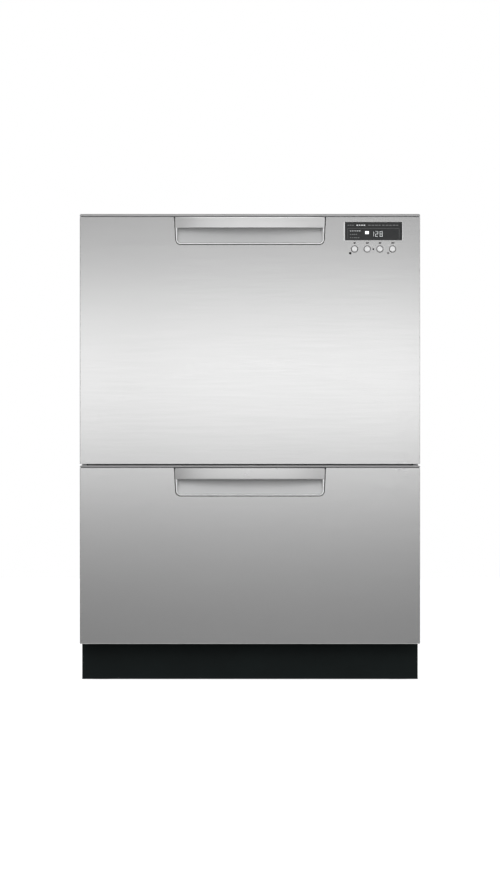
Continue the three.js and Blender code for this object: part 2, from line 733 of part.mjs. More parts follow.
const buttonXs = spread(BUTTON_COUNT, -1, 1).map(
  (share) => DISPLAY_X + (share * BUTTON_PITCH * (BUTTON_COUNT - 1)) / 2,
);
const BUTTON_Z = UPPER.top - BUTTON_DROP;
const DISPLAY_Z = UPPER.top - DISPLAY_DROP - DISPLAY_HEIGHT / 2;
const displayOutline = (grow) =>
  roundedRectangle(DISPLAY_WIDTH / 2 + grow, DISPLAY_HEIGHT / 2 + grow, 1, DISPLAY_X, DISPLAY_Z);

// The stainless skin: a pan of sheet steel, open at the back and the top.
function frontSkin(drawer) {
  const half = FRONT_WIDTH / 2;
  const top = drawer.top - CAP_HEIGHT;
  const back = FACE_Y + FRONT_DEPTH;
  const pan = cut(box(-half, half, FACE_Y, back, drawer.bottom, top), [
    box(SKIN - half, half - SKIN, FACE_Y + SKIN, back + 1, drawer.bottom + SKIN, top + 1),
    prism(handleOutline(drawer, 0), "y", FACE_Y - 1, FACE_Y + SKIN + 1),
  ]);
  if (!drawer.controls) return part(`${drawer.name}_front_skin`, pan, STAINLESS);
  const window = prism(displayOutline(0), "y", FACE_Y - 1, FACE_Y + SKIN + 1, 0.5);
  const holes = buttonXs.map((x) =>
    bar("y", x, BUTTON_Z, FACE_Y - 1, FACE_Y + SKIN + 1, BUTTON_RADIUS + SEAT, 12),
  );
  return part(`${drawer.name}_front_skin`, cut(pan, [window, ...holes]), STAINLESS);
}

// The moulded frame behind the skin, with the cap that closes the front's top edge.
function frontFrame(drawer) {
  const half = FRONT_WIDTH / 2;
  const core = half - SKIN - SEAT;
  const front = FACE_Y + SKIN + SEAT;
  const back = FACE_Y + SKIN + FRAME_DEPTH;
  const skinTop = drawer.top - CAP_HEIGHT;
  const body = box(-core, core, front, back, drawer.bottom + SKIN + SEAT, skinTop + CAP_SEAM + 0.5);
  const capSide = outline([
    [FACE_Y + FRONT_DEPTH, skinTop + CAP_SEAM],
    [FACE_Y + FRONT_DEPTH, drawer.top],
    ...times(4, (i) => {
      const angle = (Math.PI / 2) * (i / 3);
      return [
        FACE_Y + 0.4 + CAP_ROUND * (1 - Math.sin(angle)),
        drawer.top - CAP_ROUND * (1 - Math.cos(angle)),
      ];
    }),
    [FACE_Y + 0.4, skinTop + CAP_SEAM],
  ]);
  const capFace = outline([
    [-half, skinTop],
    [half, skinTop],
    [half, drawer.top - CAP_CORNER],
    [half - CAP_CORNER, drawer.top],
    [CAP_CORNER - half, drawer.top],
    [-half, drawer.top - CAP_CORNER],
  ]);
  const cap = prism(capSide, "x", -half, half).intersect(
    prism(capFace, "y", FACE_Y, FACE_Y + FRONT_DEPTH),
  );
  const wall = TUB_Y - TUB_HALF_Y - TUB_WALL;
  const low = drawer.floor + LEDGE_HEIGHT;
  const high = drawer.top - CAP_HEIGHT - HANDLE_HEIGHT - 4;
  const posts = spread(STANDOFF_COUNT, -0.7, 0.7).map((share) => share * TUB_HALF_X);
  const standoffs = posts.map((x) =>
    box(x - STANDOFF_WIDTH / 2, x + STANDOFF_WIDTH / 2, back - 1, wall - SEAT, low, high),
  );
  const edges = [FRAME_BORDER - half, ...posts, half - FRAME_BORDER];
  const windows = times(edges.length - 1, (i) => {
    const left = edges[i] + (i > 0 ? STANDOFF_WIDTH : 0);
    const right = edges[i + 1] - (i + 2 < edges.length ? STANDOFF_WIDTH : 0);
    return box(left, right, front - 1, back + 1, drawer.bottom + FRAME_BORDER, high - 12);
  });
  const pocket = prism(handleOutline(drawer, HANDLE_SEAM - SEAT), "y", FACE_Y, back + 1);
  const opening = HANDLE_WIDTH / 2;
  const underGrip = gripTopOf(drawer) - GRIP_HEIGHT - SEAT;
  const gripRoom = box(-opening, opening, FACE_Y, back + 1, underGrip, skinTop + 0.3);
  const cavities = drawer.controls ? [controlCavity()] : [];
  const solid = cut(union([body, cap, ...standoffs]), [pocket, gripRoom, ...windows, ...cavities]);
  return part(`${drawer.name}_front_frame`, solid, SILVER_PLASTIC);
}

// Room behind the skin for the display and the buttons.
function controlCavity() {
  const front = FACE_Y + SKIN;
  const left = DISPLAY_X - DISPLAY_WIDTH / 2 - 4;
  const right = DISPLAY_X + DISPLAY_WIDTH / 2 + 4;
  const display = box(left, right, front, front + DISPLAY_BACK, DISPLAY_Z - 22, DISPLAY_Z + 19);
  const buttons = box(left, right, front, front + CONTROL_CAVITY, BUTTON_Z - 9, BUTTON_Z + 9);
  return display.add(buttons);
}

// The dark window: a lens in the skin's opening on a wider seat behind it.
function displayWindow() {
  const lens = prism(displayOutline(-SEAT), "y", FACE_Y + 0.1, FACE_Y + SKIN + SEAT + 0.5, 0.5);
  const behind = FACE_Y + SKIN;
  const seat = prism(displayOutline(2.5), "y", behind + SEAT, behind + DISPLAY_BACK - SEAT, 0.5);
  return part("display_window", lens.add(seat), GLASS);
}

// A push button, built about its own axis with its face at the origin, pointing forwards.
function button(name, x) {
  const r = BUTTON_RADIUS;
  const flange = BUTTON_PROUD + SKIN + SEAT;
  const solid = turned(
    [
      [0, -BUTTON_LENGTH],
      [2.5, -BUTTON_LENGTH],
      [2.5, -flange - 1.5],
      [r + 1.6, -flange - 1.5],
      [r + 1.6, -flange],
      [r, -flange],
      [r, -0.6],
      [r - 0.6, 0],
      [0, -0.4],
    ],
    10,
  );
  const mesh = part(name, solid, POLISHED, [x, FACE_Y - BUTTON_PROUD, BUTTON_Z]);
  mesh.rotation.x = Math.PI / 2;
  return mesh;
}

// ---------------------------------------------------------------- handle

const GRIP_HALF = HANDLE_WIDTH / 2 - HANDLE_SEAM - (HANDLE_TAPER * GRIP_HEIGHT) / HANDLE_HEIGHT;
const gripTopOf = (drawer) => drawer.top - CAP_HEIGHT - 0.2;

// How far the grip stands in front of the skin at x.
const bulge = (x) => GRIP_BULGE * (1 - (x / (HANDLE_WIDTH / 2)) ** 2);

// A level band of the grip, from the bowed front line offset by start to the line at depth end.
function gripBand(start, end, z0, z1) {
  const xs = spread(11, -GRIP_HALF, GRIP_HALF);
  const front = xs.map((x) => [x, FACE_Y - bulge(x) + start]);
  const back = xs.map((x) => [x, end(x)]).reverse();
  return prism(outline([...front, ...back]), "z", z0, z1);
}

// The grip: a bowed strip that hangs from a shelf at the top of the pocket, with a hemmed lower edge.
function handleGrip(drawer) {
  const top = gripTopOf(drawer);
  const bottom = top - GRIP_HEIGHT;
  const behind = (depth) => (x) => FACE_Y - bulge(x) + depth;
  const shelfBack = () => FACE_Y + POCKET_DEPTH - 2;
  const strip = gripBand(0, behind(GRIP_SHEET), bottom, top);
  const shelf = gripBand(0, shelfBack, top - GRIP_SHEET, top);
  const hem = gripBand(0, behind(GRIP_HEM), bottom, bottom + GRIP_SHEET);
  return part(`${drawer.name}_handle_grip`, union([strip, shelf, hem]), POLISHED);
}

// The pocket behind the grip: a moulded scoop whose floor rises from its front rim.
function handlePocket(drawer) {
  const top = drawer.top - CAP_HEIGHT;
  const bottom = top - HANDLE_HEIGHT + HANDLE_SEAM;
  const back = FACE_Y + POCKET_DEPTH;
  const gripTop = gripTopOf(drawer);
  const body = prism(handleOutline(drawer, HANDLE_SEAM), "y", FACE_Y, back);
  const scoop = outline([
    [FACE_Y - 1, bottom + POCKET_RIM],
    [FACE_Y + 3, bottom + POCKET_RIM + 0.6],
    [FACE_Y + 10, bottom + POCKET_RIM + 6],
    [FACE_Y + 15, bottom + POCKET_RIM + 15],
    [back - 2, bottom + POCKET_RIM + 28],
    [back - 2, top - GRIP_SHEET - SEAT - 0.2],
    [FACE_Y - 1, top - GRIP_SHEET - SEAT - 0.2],
  ]);
  const half = HANDLE_WIDTH / 2;
  const hollow = prism(scoop, "x", -half, half).intersect(
    prism(handleOutline(drawer, HANDLE_SEAM + POCKET_RIM), "y", FACE_Y - 2, back + 1),
  );
  // The grip's ends and shelf lie in front of and above the pocket's own walls.
  const gripBack = FACE_Y + GRIP_HEM + SEAT;
  const ends = box(-half, half, FACE_Y - 1, gripBack, gripTop - GRIP_HEIGHT - SEAT, top + 1);
  const shelf = box(-half, half, FACE_Y - 1, back + 1, gripTop - GRIP_SHEET - SEAT, top + 1);
  return part(`${drawer.name}_handle_pocket`, cut(body, [hollow, ends, shelf]), SILVER_PLASTIC);
}

// ---------------------------------------------------------------- tub and wash parts

function tub(drawer) {
  const { rim, floor } = drawer;
  const ledge = floor + LEDGE_HEIGHT;
  const r = TUB_CORNER;
  const w = TUB_WALL;
  const inside = [
    loop(TUB_HALF_X, TUB_HALF_Y, r, TUB_Y, rim),
    loop(LEDGE_HALF_X, TUB_HALF_Y, r, TUB_Y, ledge),
    loop(FLOOR_HALF_X, FLOOR_HALF_Y, r, TUB_Y, ledge),
    loop(FLOOR_HALF_X - 5, FLOOR_HALF_Y - 5, r, TUB_Y, floor + 14),
    loop(FLOOR_HALF_X - 14, FLOOR_HALF_Y - 14, r - 6, TUB_Y, floor + w),
  ];
  const outside = [
    loop(FLOOR_HALF_X - 12, FLOOR_HALF_Y - 12, r - 4, TUB_Y, floor),
    loop(FLOOR_HALF_X - 5 + w, FLOOR_HALF_Y - 5 + w, r, TUB_Y, floor + 12),
    loop(FLOOR_HALF_X + w, FLOOR_HALF_Y + w, r, TUB_Y, ledge - w),
    loop(LEDGE_HALF_X + w, TUB_HALF_Y + w, r, TUB_Y, ledge - w + 1),
    loop(TUB_HALF_X + w, TUB_HALF_Y + w, r, TUB_Y, rim - RIM_THICKNESS),
    loop(RIM_HALF_X, RIM_HALF_Y, r, TUB_Y, rim - RIM_THICKNESS),
    loop(RIM_HALF_X, RIM_HALF_Y, r, TUB_Y, rim),
  ];
  const shell = loft([...outside, ...inside]);
  const runnerZ = runnerOf(drawer);
  const ledgeX = RUNNER_X - SEAT;
  const rails = bothSides((label, side) => {
    const wallX = side * (LEDGE_HALF_X + 1.5);
    const low = runnerZ - RUNNER_HEIGHT / 2 + 4;
    const high = runnerZ + RUNNER_HEIGHT / 2 - 4;
    const web = box(side * (ledgeX - 2.5), side * ledgeX, RUNNER_FRONT, RUNNER_REAR, low, high);
    const shelf = box(wallX, side * ledgeX, RUNNER_FRONT, RUNNER_REAR, high - 3, high);
    const gussets = spread(3, RUNNER_FRONT, RUNNER_REAR - 3).map((y) =>
      box(wallX, side * (ledgeX - 1), y, y + 3, low, high - 1),
    );
    return union([web, shelf, ...gussets]);
  });
  const well = (radius, from, to) => bar("z", 0, TUB_Y, from, to, radius, ROUND_SIDES);
  const wellOuter = well(WELL_RADIUS + w, floor - WELL_DEPTH, floor + 1);
  const wellInner = well(WELL_RADIUS, floor + w - WELL_DEPTH, floor + w + 1);
  const ribs = spread(2, -0.66, 0.66).map((share) => {
    const x = share * FLOOR_HALF_X;
    const reach = FLOOR_HALF_Y - 30;
    return box(x - 1.5, x + 1.5, TUB_Y - reach, TUB_Y + reach, floor - 8, floor + 1);
  });
  const solid = cut(union([shell, wellOuter, ...ribs, ...rails]), [wellInner]);
  return part(`${drawer.name}_tub`, solid, TUB_PLASTIC);
}

const plateOf = (drawer) => drawer.floor + TUB_WALL;

// The filter plate: a dished disc over the well, with drain slots and the spray arm's spindle.
function filterPlate(drawer) {
  const r = WELL_RADIUS - 0.6;
  const seat = WELL_DEPTH - SEAT;
  const spindleTop = SHOULDER + ARM_HEIGHT - 1;
  const disc = turned(
    [
      [0, -6],
      [r - 5, -6],
      [r - 5, -seat],
      [r, -seat],
      [r, 0],
      [SPINDLE_RADIUS + 6, -3],
      [SPINDLE_RADIUS + 4, SHOULDER],
      [SPINDLE_RADIUS, SHOULDER],
      [SPINDLE_RADIUS - 1, spindleTop],
      [0, spindleTop],
    ],
    ROUND_SIDES,
  );
  const slots = times(FILTER_SLOTS, (i) => {
    const slot = new THREE.BoxGeometry(26, 4, 20);
    slot.translate(r - 40, 0, -4);
    slot.rotateZ((i / FILTER_SLOTS) * Math.PI * 2);
    return solidOf(slot);
  });
  const place = [0, TUB_Y, plateOf(drawer)];
  return part(`${drawer.name}_filter_plate`, cut(disc, slots), POLISHED, place);
}

// The spray arm: a tapered hollow blade about a hub, with a row of jets on top.
function sprayArm(drawer) {
  const reach = Math.min(FLOOR_HALF_X, FLOOR_HALF_Y) - 24;
  const tip = ARM_WIDTH / 2 - 6;
  const blade = new THREE.Shape();
  blade.moveTo(-reach + tip, -tip);
  blade.quadraticCurveTo(-reach / 2, -ARM_WIDTH / 2 - 4, 0, -ARM_WIDTH / 2);
  blade.quadraticCurveTo(reach / 2, -ARM_WIDTH / 2 + 8, reach - tip, -tip);
  blade.absarc(reach - tip, 0, tip, -Math.PI / 2, Math.PI / 2);
  blade.quadraticCurveTo(reach / 2, ARM_WIDTH / 2 + 4, 0, ARM_WIDTH / 2);
  blade.quadraticCurveTo(-reach / 2, ARM_WIDTH / 2 - 8, -reach + tip, tip);
  blade.absarc(-reach + tip, 0, tip, Math.PI / 2, Math.PI * 1.5);
  const body = prism(blade, "z", 0, ARM_HEIGHT, 3);
  const hub = bar("z", 0, 0, 0, ARM_HEIGHT + 3, HUB_RADIUS, 14);
  const bore = bar("z", 0, 0, -1, ARM_HEIGHT - 1, SPINDLE_RADIUS + SLIDE, 14);
  const jets = [-0.9, -0.62, -0.36, 0.36, 0.62, 0.9].map((share) => {
    const x = share * reach;
    return box(x - 4, x + 4, -1.2, 1.2, ARM_HEIGHT - 3, ARM_HEIGHT + 1);
  });
  const place = [0, TUB_Y, plateOf(drawer) + SHOULDER + SEAT];
  return part(`${drawer.name}_spray_arm`, cut(hub.add(body), [bore, ...jets]), TUB_PLASTIC, place);
}

// The wash motor: a flat stator under the well, with a connector on its rim.
function washMotor(drawer) {
  const r = MOTOR_RADIUS;
  const disc = turned(
    [
      [0, 0],
      [r - 20, 0],
      [r - 14, 4],
      [r, 4],
      [r, MOTOR_HEIGHT],
      [0, MOTOR_HEIGHT],
    ],
    ROUND_SIDES,
  );
  const connector = box(r - 8, r + 16, -14, 14, 3, MOTOR_HEIGHT - 1);
  const lugs = times(3, (i) => {
    const lug = new THREE.CylinderGeometry(8, 8, 5, 6);
    lug.rotateX(Math.PI / 2);
    lug.translate(r + 4, 0, MOTOR_HEIGHT - 2.5);
    lug.rotateZ((i / 3) * Math.PI * 2 + Math.PI / 3);
    return solidOf(lug);
  });
  const place = [0, TUB_Y, drawer.floor - WELL_DEPTH - SEAT - MOTOR_HEIGHT];
  return part(`${drawer.name}_wash_motor`, union([disc, connector, ...lugs]), DARK_PLASTIC, place);
}

// ---------------------------------------------------------------- racks

const RACK_HALF_X = LEDGE_HALF_X - RIM_WIRE / 2 - 2;
const RACK_HALF_Y = TUB_HALF_Y - RIM_WIRE / 2 - 2;
const RACK_CORNER = TUB_CORNER - 6;
// The rim stays below the dispenser on the tub's front wall.
const rackRimOf = (drawer) =>
  Math.min(
    rackFloorOf(drawer) + drawer.rackHeight,
    drawer.rim - DISPENSER_DROP - DISPENSER_HEIGHT - RIM_WIRE,
  );
const rowZOf = (drawer) => rackFloorOf(drawer) + WIRE;

// A wire bent to a wide U with round corners, from (u, top) down, across at the floor and up again.
function archPoints(halfTop, halfFloor, top, floorZ, place) {
  const bend = 6;
  const turn = [
    [halfFloor, floorZ + bend],
    [halfFloor - bend, floorZ],
  ];
  const right = [[halfTop, top], ...turn];
  const left = right.map(([u, z]) => [-u, z]).reverse();
  return [...right, ...left].map(([u, z]) => place(u, z));
}

// A tine: a straight wire that stands on a row wire.
const tine = (x, y, z, height) =>
  bar("z", x, y, z - 0.5, z + height, TINE_WIRE / 2, 4);

const rowYs = (start, count) => times(count, (i) => start + i * TINE_PITCH);
const CROSS_HALF = RACK_HALF_Y - RACK_INSET_Y;
const crossWireYs = spread(RACK_CROSS_WIRES, TUB_Y - CROSS_HALF, TUB_Y + CROSS_HALF);
const ROW_HALF = RACK_HALF_Y - ROW_INSET;
const TINE_COUNT = Math.floor((2 * ROW_HALF - TINE_PITCH) / TINE_PITCH) + 1;
const ROW_START = TUB_Y - ((TINE_COUNT - 1) * TINE_PITCH) / 2 - TINE_PITCH / 4;

function dishRack(drawer) {
  const floorZ = rackFloorOf(drawer);
  const rimZ = rackRimOf(drawer);
  const topHalfX = RACK_HALF_X + 1;
  const rim = wireLoop(topHalfX, RACK_HALF_Y, RACK_CORNER, TUB_Y, rimZ, RIM_WIRE);
  const across = crossWireYs.map((y) =>
    wire(archPoints(topHalfX, RACK_HALF_X, rimZ, floorZ, (x, z) => [x, y, z]), WIRE, 4),
  );
  const alongHalf = RACK_HALF_X - RACK_INSET_X;
  const along = spread(RACK_LONG_WIRES, -alongHalf, alongHalf).map((x) => {
    const place = (y, z) => [x, TUB_Y + y, z];
    return wire(archPoints(RACK_HALF_Y, RACK_HALF_Y, rimZ, floorZ - LAYER, place), WIRE, 4);
  });
  const rows = FIXED_ROWS.flatMap((x) => [
    bar("y", x, rowZOf(drawer) - 1.5, TUB_Y - ROW_HALF, TUB_Y + ROW_HALF, WIRE / 2, 4),
    ...rowYs(ROW_START, TINE_COUNT).map((y) => tine(x, y, rowZOf(drawer) - 1.5, TINE_HEIGHT)),
  ]);
  const hinges = [1, RACK_CROSS_WIRES - 2].map((i) => foldingClip(drawer, crossWireYs[i]));
  const cupClips = drawer.controls ? [-1, 1].map((end) => cupClip(drawer, end)) : [];
  const solid = union([rim, ...across, ...along, ...rows, ...hinges, ...cupClips]);
  return part(`${drawer.name}_dish_rack`, solid, RACK_COAT);
}

const foldingZOf = (drawer) => rackFloorOf(drawer) + WIRE / 2 + 5;

// A clip on the rack floor that holds the folding row's wire.
function foldingClip(drawer, y) {
  const floorZ = rackFloorOf(drawer);
  const z = foldingZOf(drawer);
  const clip = box(FOLDING_ROW - 5, FOLDING_ROW + 5, y - 3, y + 3, floorZ - 1, z + 4);
  const bore = bar("y", FOLDING_ROW, z, y - 4, y + 4, WIRE / 2 + SLIDE, 6);
  return clip.subtract(bore);
}

// The folding row: tines on a wire that turns in the rack's clips.
function foldingRow(drawer) {
  const z = foldingZOf(drawer);
  const axle = bar("y", FOLDING_ROW, z, TUB_Y - ROW_HALF, TUB_Y + ROW_HALF, WIRE / 2, 4);
  const tines = rowYs(ROW_START + TINE_PITCH / 2, TINE_COUNT).map((y) =>
    bar("z", FOLDING_ROW, y, z, z + TINE_HEIGHT - 8, TINE_WIRE / 2, 4),
  );
  return part(`${drawer.name}_folding_tines`, union([axle, ...tines]), RACK_COAT);
}

const CUP_HINGE_X = RACK_HALF_X - 12;
const cupZOf = (drawer) => rackRimOf(drawer);

// A clip on the rack's top rim that holds the cup rack's hinge wire.
function cupClip(drawer, end) {
  const y = TUB_Y + (end * CUP_RACK_LENGTH) / 2.6;
  const z = cupZOf(drawer);
  const clip = box(CUP_HINGE_X - 5, RACK_HALF_X, y - 4, y + 4, z - 5, z + 5);
  const bore = bar("y", CUP_HINGE_X, z, y - 5, y + 5, WIRE / 2 + SLIDE, 6);
  return clip.subtract(bore);
}

// The cup rack: a wire shelf that hinges on the rack's right rim.
function cupRack(drawer) {
  const z = cupZOf(drawer);
  const half = CUP_RACK_LENGTH / 2;
  const near = CUP_HINGE_X;
  const far = near - CUP_RACK_WIDTH;
  const frame = [
    [near, TUB_Y + half, z],
    [near, TUB_Y - half, z],
    [far, TUB_Y - half, z],
    [far, TUB_Y + half, z],
  ];
  const edges = frame.map((corner, i) => wire([corner, frame[(i + 1) % 4]], WIRE, 4));
  const slats = spread(6, TUB_Y - half, TUB_Y + half)
    .slice(1, 5)
    .map((y) => bar("x", y, z, far, near, TINE_WIRE / 2, 4));
  const knuckles = frame.map(([x, y]) => box(x - 2, x + 2, y - 2, y + 2, z - 2, z + 2));
  return part(`${drawer.name}_cup_rack`, union([...edges, ...slats, ...knuckles]), RACK_COAT);
}

// The cutlery basket: a slotted box in cells, with a carrying bridge.
function cutleryBasket(drawer) {
  const bottom = rackFloorOf(drawer) + WIRE / 2 + SEAT;
  const left = BASKET_X;
  const right = left + BASKET_WIDTH;
  const front = TUB_Y - BASKET_LENGTH / 2;
  const rear = front + BASKET_LENGTH;
  const top = Math.min(bottom + BASKET_HEIGHT, rackRimOf(drawer) + 12.1);
  const w = BASKET_WALL;
  const cell = (BASKET_LENGTH - w * (BASKET_CELLS + 1)) / BASKET_CELLS;
  const middle = (left + right) / 2;
  const hollows = times(BASKET_CELLS, (i) => {
    const y = front + w + i * (cell + w);
    return box(left + w, right - w, y, y + cell, bottom + w, top + 1);
  });
  const slots = times(BASKET_CELLS, (i) => {
    const y = front + w + i * (cell + w);
    return [0.28, 0.72].map((share) => {
      const centre = y + share * cell;
      return box(left - 1, right + 1, centre - 7, centre + 7, bottom + 14, top - 14);
    });
  }).flat();
  const drains = times(BASKET_CELLS, (i) => {
    const y = front + w + i * (cell + w) + cell / 2;
    return box(left + 12, right - 12, y - 10, y + 10, bottom - 1, bottom + w + 1);
  });
  const body = cut(box(left, right, front, rear, bottom, top), [...hollows, ...slots, ...drains]);
  const bridge = prism(
    outline([
      [front, top - 14],
      [front + 2 * w, top - 14],
      [front + 30, top + 16],
      [rear - 30, top + 16],
      [rear - 2 * w, top - 14],
      [rear, top - 14],
      [rear - 26, top + 22],
      [front + 26, top + 22],
    ]),
    "x",
    middle - 7,
    middle + 7,
  );
  return part(`${drawer.name}_cutlery_basket`, body.add(bridge), TUB_PLASTIC);
}

// ---------------------------------------------------------------- dispenser

const dispenserOf = (drawer) => {
  const top = drawer.rim - DISPENSER_DROP;
  const back = TUB_Y - TUB_HALF_Y + SEAT; // on the tub's front wall
  return { top, bottom: top - DISPENSER_HEIGHT, back, front: back + DISPENSER_DEPTH };
};

// The dispenser: a moulding on the tub's front wall with a detergent cup and a round rinse-aid cap.
function dispenserBody(drawer) {
  const { top, bottom, back, front } = dispenserOf(drawer);
  const half = DISPENSER_WIDTH / 2;
  const z = (top + bottom) / 2;
  const body = prism(roundedRectangle(half, DISPENSER_HEIGHT / 2, 8, 0, z), "y", back, front, 1);
  const left = DOOR_X - DOOR_WIDTH / 2;
  const right = DOOR_X + DOOR_WIDTH / 2;
  const cupShape = roundedRectangle(DOOR_WIDTH / 2 - 6, DISPENSER_HEIGHT / 2 - 15, 6, DOOR_X, z + 2);
  const cup = prism(cupShape, "y", back + 3, front + 1, 1);
  const recess = (depth, low, high) =>
    box(left - SLIDE, right + SLIDE, front - depth, front + 1, low, high);
  const rebate = recess(DOOR_SHEET + SLIDE, bottom + 5, top - 6);
  const knuckle = recess(7, bottom + 3, bottom + 11);
  const pin = bar("x", front - 3, bottom + 7, left - 3, right + 3, DOOR_PIN_RADIUS, 6);
  const cap = bar("y", half - 22, z, front - 1, front + 4, 13, 12);
  const solid = union([cut(body, [cup, rebate, knuckle]), pin, cap]);
  return part(`${drawer.name}_dispenser`, solid, SILVER_PLASTIC);
}

// The dispenser's door: it turns about the pin along its lower edge.
function dispenserDoor(drawer) {
  const { top, bottom, front } = dispenserOf(drawer);
  const pinZ = bottom + 7;
  const pinY = front - 3;
  const left = DOOR_X - DOOR_WIDTH / 2;
  const right = DOOR_X + DOOR_WIDTH / 2;
  const leaf = box(left, right, front - DOOR_SHEET, front, pinZ, top - 6 - SLIDE);
  const barrel = bar("x", pinY, pinZ, left, right, 3, 10);
  const bore = bar("x", pinY, pinZ, left - 1, right + 1, DOOR_PIN_RADIUS + 0.3, 6);
  const latch = box(DOOR_X - 8, DOOR_X + 8, front - 0.5, front + 2, top - 16, top - 12);
  const solid = cut(union([leaf, barrel, latch]), [bore]);
  return part(`${drawer.name}_dispenser_door`, solid, SILVER_PLASTIC);
}

// ---------------------------------------------------------------- assembly

function drawerGroup(drawer) {
  const group = new THREE.Group();
  group.add(
    frontSkin(drawer),
    frontFrame(drawer),
    handleGrip(drawer),
    handlePocket(drawer),
    tub(drawer),
    filterPlate(drawer),
    sprayArm(drawer),
    washMotor(drawer),
    dishRack(drawer),
    foldingRow(drawer),
    cutleryBasket(drawer),
    dispenserBody(drawer),
    dispenserDoor(drawer),
    lid(drawer),
    lidSeal(drawer),
    ...bothSides((label, side) => lidActuator(drawer, label, side)),
    ...bothSides((label, side) => runnerMiddle(drawer, label, side)),
    ...bothSides((label, side) => runnerInner(drawer, label, side)),
  );
  return group;
}

function cabinetGroup() {
  const group = new THREE.Group();
  group.add(
    ...bothSides(sidePanel),
    topPanel(),
    rearPanel(),
    centreRail(),
    baseTray(),
    toeKick(),
    inletValve(),
    ...bothSides((label, side) => foot(`foot_front_${label}`, side * FOOT_X, FOOT_FRONT_Y)),
    ...bothSides((label, side) => foot(`foot_rear_${label}`, side * FOOT_X, FOOT_REAR_Y)),
  );
  return group;
}

function controlGroup() {
  const group = new THREE.Group();
  group.add(displayWindow(), ...buttonXs.map((x, i) => button(`button_${i + 1}`, x)));
  return group;
}

const dishwasher = new THREE.Group();
dishwasher.add(cabinetGroup(), drawerGroup(UPPER), drawerGroup(LOWER), controlGroup(), cupRack(UPPER));

export default dishwasher;
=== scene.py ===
"""A two-drawer dishwasher in stainless steel, on a pale floor under soft studio light.

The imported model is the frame: what it gets right keeps its shape and gets a material here, and what
shows close up is built again with a finer surface, in the same place. The pieces are drawn in
millimetres, and the camera, the cards and the lights are placed in metres.
"""
import math
import random

import bmesh
import bpy
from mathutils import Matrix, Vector
from mathutils.geometry import tessellate_polygon


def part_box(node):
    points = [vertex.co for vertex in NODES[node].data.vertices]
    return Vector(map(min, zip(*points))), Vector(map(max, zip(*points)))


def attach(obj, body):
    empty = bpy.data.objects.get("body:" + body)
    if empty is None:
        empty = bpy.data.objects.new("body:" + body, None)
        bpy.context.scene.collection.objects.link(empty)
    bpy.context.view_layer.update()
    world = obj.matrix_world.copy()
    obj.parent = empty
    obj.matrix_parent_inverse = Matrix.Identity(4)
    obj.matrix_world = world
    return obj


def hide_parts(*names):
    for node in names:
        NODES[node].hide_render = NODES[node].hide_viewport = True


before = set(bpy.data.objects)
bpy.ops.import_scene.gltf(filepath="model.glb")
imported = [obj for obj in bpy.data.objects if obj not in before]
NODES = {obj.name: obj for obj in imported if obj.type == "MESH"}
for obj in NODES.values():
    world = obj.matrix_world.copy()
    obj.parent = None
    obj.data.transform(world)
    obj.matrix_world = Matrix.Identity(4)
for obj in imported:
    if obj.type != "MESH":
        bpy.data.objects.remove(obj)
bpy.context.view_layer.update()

MM = 0.001
DRAWERS = ("upper", "lower")


def box(name):
    """The corners of a CAD node's box."""
    low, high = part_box(name)
    return low / MM, high / MM


def by_drawer(upper, lower):
    return {"upper": upper, "lower": lower}


def spread(count, low, high):
    """Evenly spaced values, both ends included."""
    return [low + (high - low) * i / (count - 1) for i in range(count)]


def linked(name, data):
    made = bpy.data.objects.new(name, data)
    bpy.context.scene.collection.objects.link(made)
    return made


# ---- camera

IMAGE_WIDTH, IMAGE_HEIGHT = 500, 891  # pixels
PHOTO_WIDTH_PX = 340.5  # how wide the fronts are in the photograph
PHOTO_MIDDLE = (249.97, 679.5)  # the middle of the toe kick's lower edge, in pixels
CAMERA_DISTANCE = 40.0  # from the fronts, in metres

skin_low, skin_high = box("upper_front_skin")
FACE_Y = skin_low.y
MM_PER_PX = (skin_high.x - skin_low.x) / PHOTO_WIDTH_PX


def photo_x(px):
    """A column of the photograph, in the plane of the fronts."""
    return (px - PHOTO_MIDDLE[0]) * MM_PER_PX


def photo_z(py):
    return (PHOTO_MIDDLE[1] - py) * MM_PER_PX


def make_camera():
    data = bpy.data.cameras.new("camera")
    camera = linked("camera", data)
    x, z = photo_x(IMAGE_WIDTH / 2) * MM, photo_z(IMAGE_HEIGHT / 2) * MM
    camera.location = (x, FACE_Y * MM - CAMERA_DISTANCE, z)
    camera.rotation_euler = (math.pi / 2, 0, 0)
    data.lens = data.sensor_width * CAMERA_DISTANCE / (IMAGE_HEIGHT * MM_PER_PX * MM)
    data.clip_start, data.clip_end = 0.1, 200
    bpy.context.scene.camera = camera


make_camera()
bpy.context.scene.view_settings.view_transform = "Standard"

# ---- material helpers


def colour(value):
    """A grey or an RGB triple as RGBA, linear."""
    return (value, value, value, 1) if isinstance(value, (int, float)) else (*value, 1)


class Tree:
    def __init__(self, tree):
        self.tree = tree

    def put(self, value, socket):
        if isinstance(value, bpy.types.NodeSocket):
            self.tree.links.new(value, socket)
        else:
            socket.default_value = colour(value) if socket.type == "RGBA" else value

    def node(self, kind, inputs=None, **settings):
        made = self.tree.nodes.new(kind)
        for key, value in settings.items():
            setattr(made, key, value)
        for key, value in (inputs or {}).items():
            self.put(value, made.inputs[key])
        return made

    def seen_by(self, *rays):
        """1 for these kinds of ray, and 0 for all others."""
        path = self.node("ShaderNodeLightPath")
        seen = path.outputs[f"Is {rays[0]} Ray"]
        for ray in rays[1:]:
            pair = {0: seen, 1: path.outputs[f"Is {ray} Ray"]}
            seen = self.node("ShaderNodeMath", pair, operation="MAXIMUM").outputs[0]
        return seen


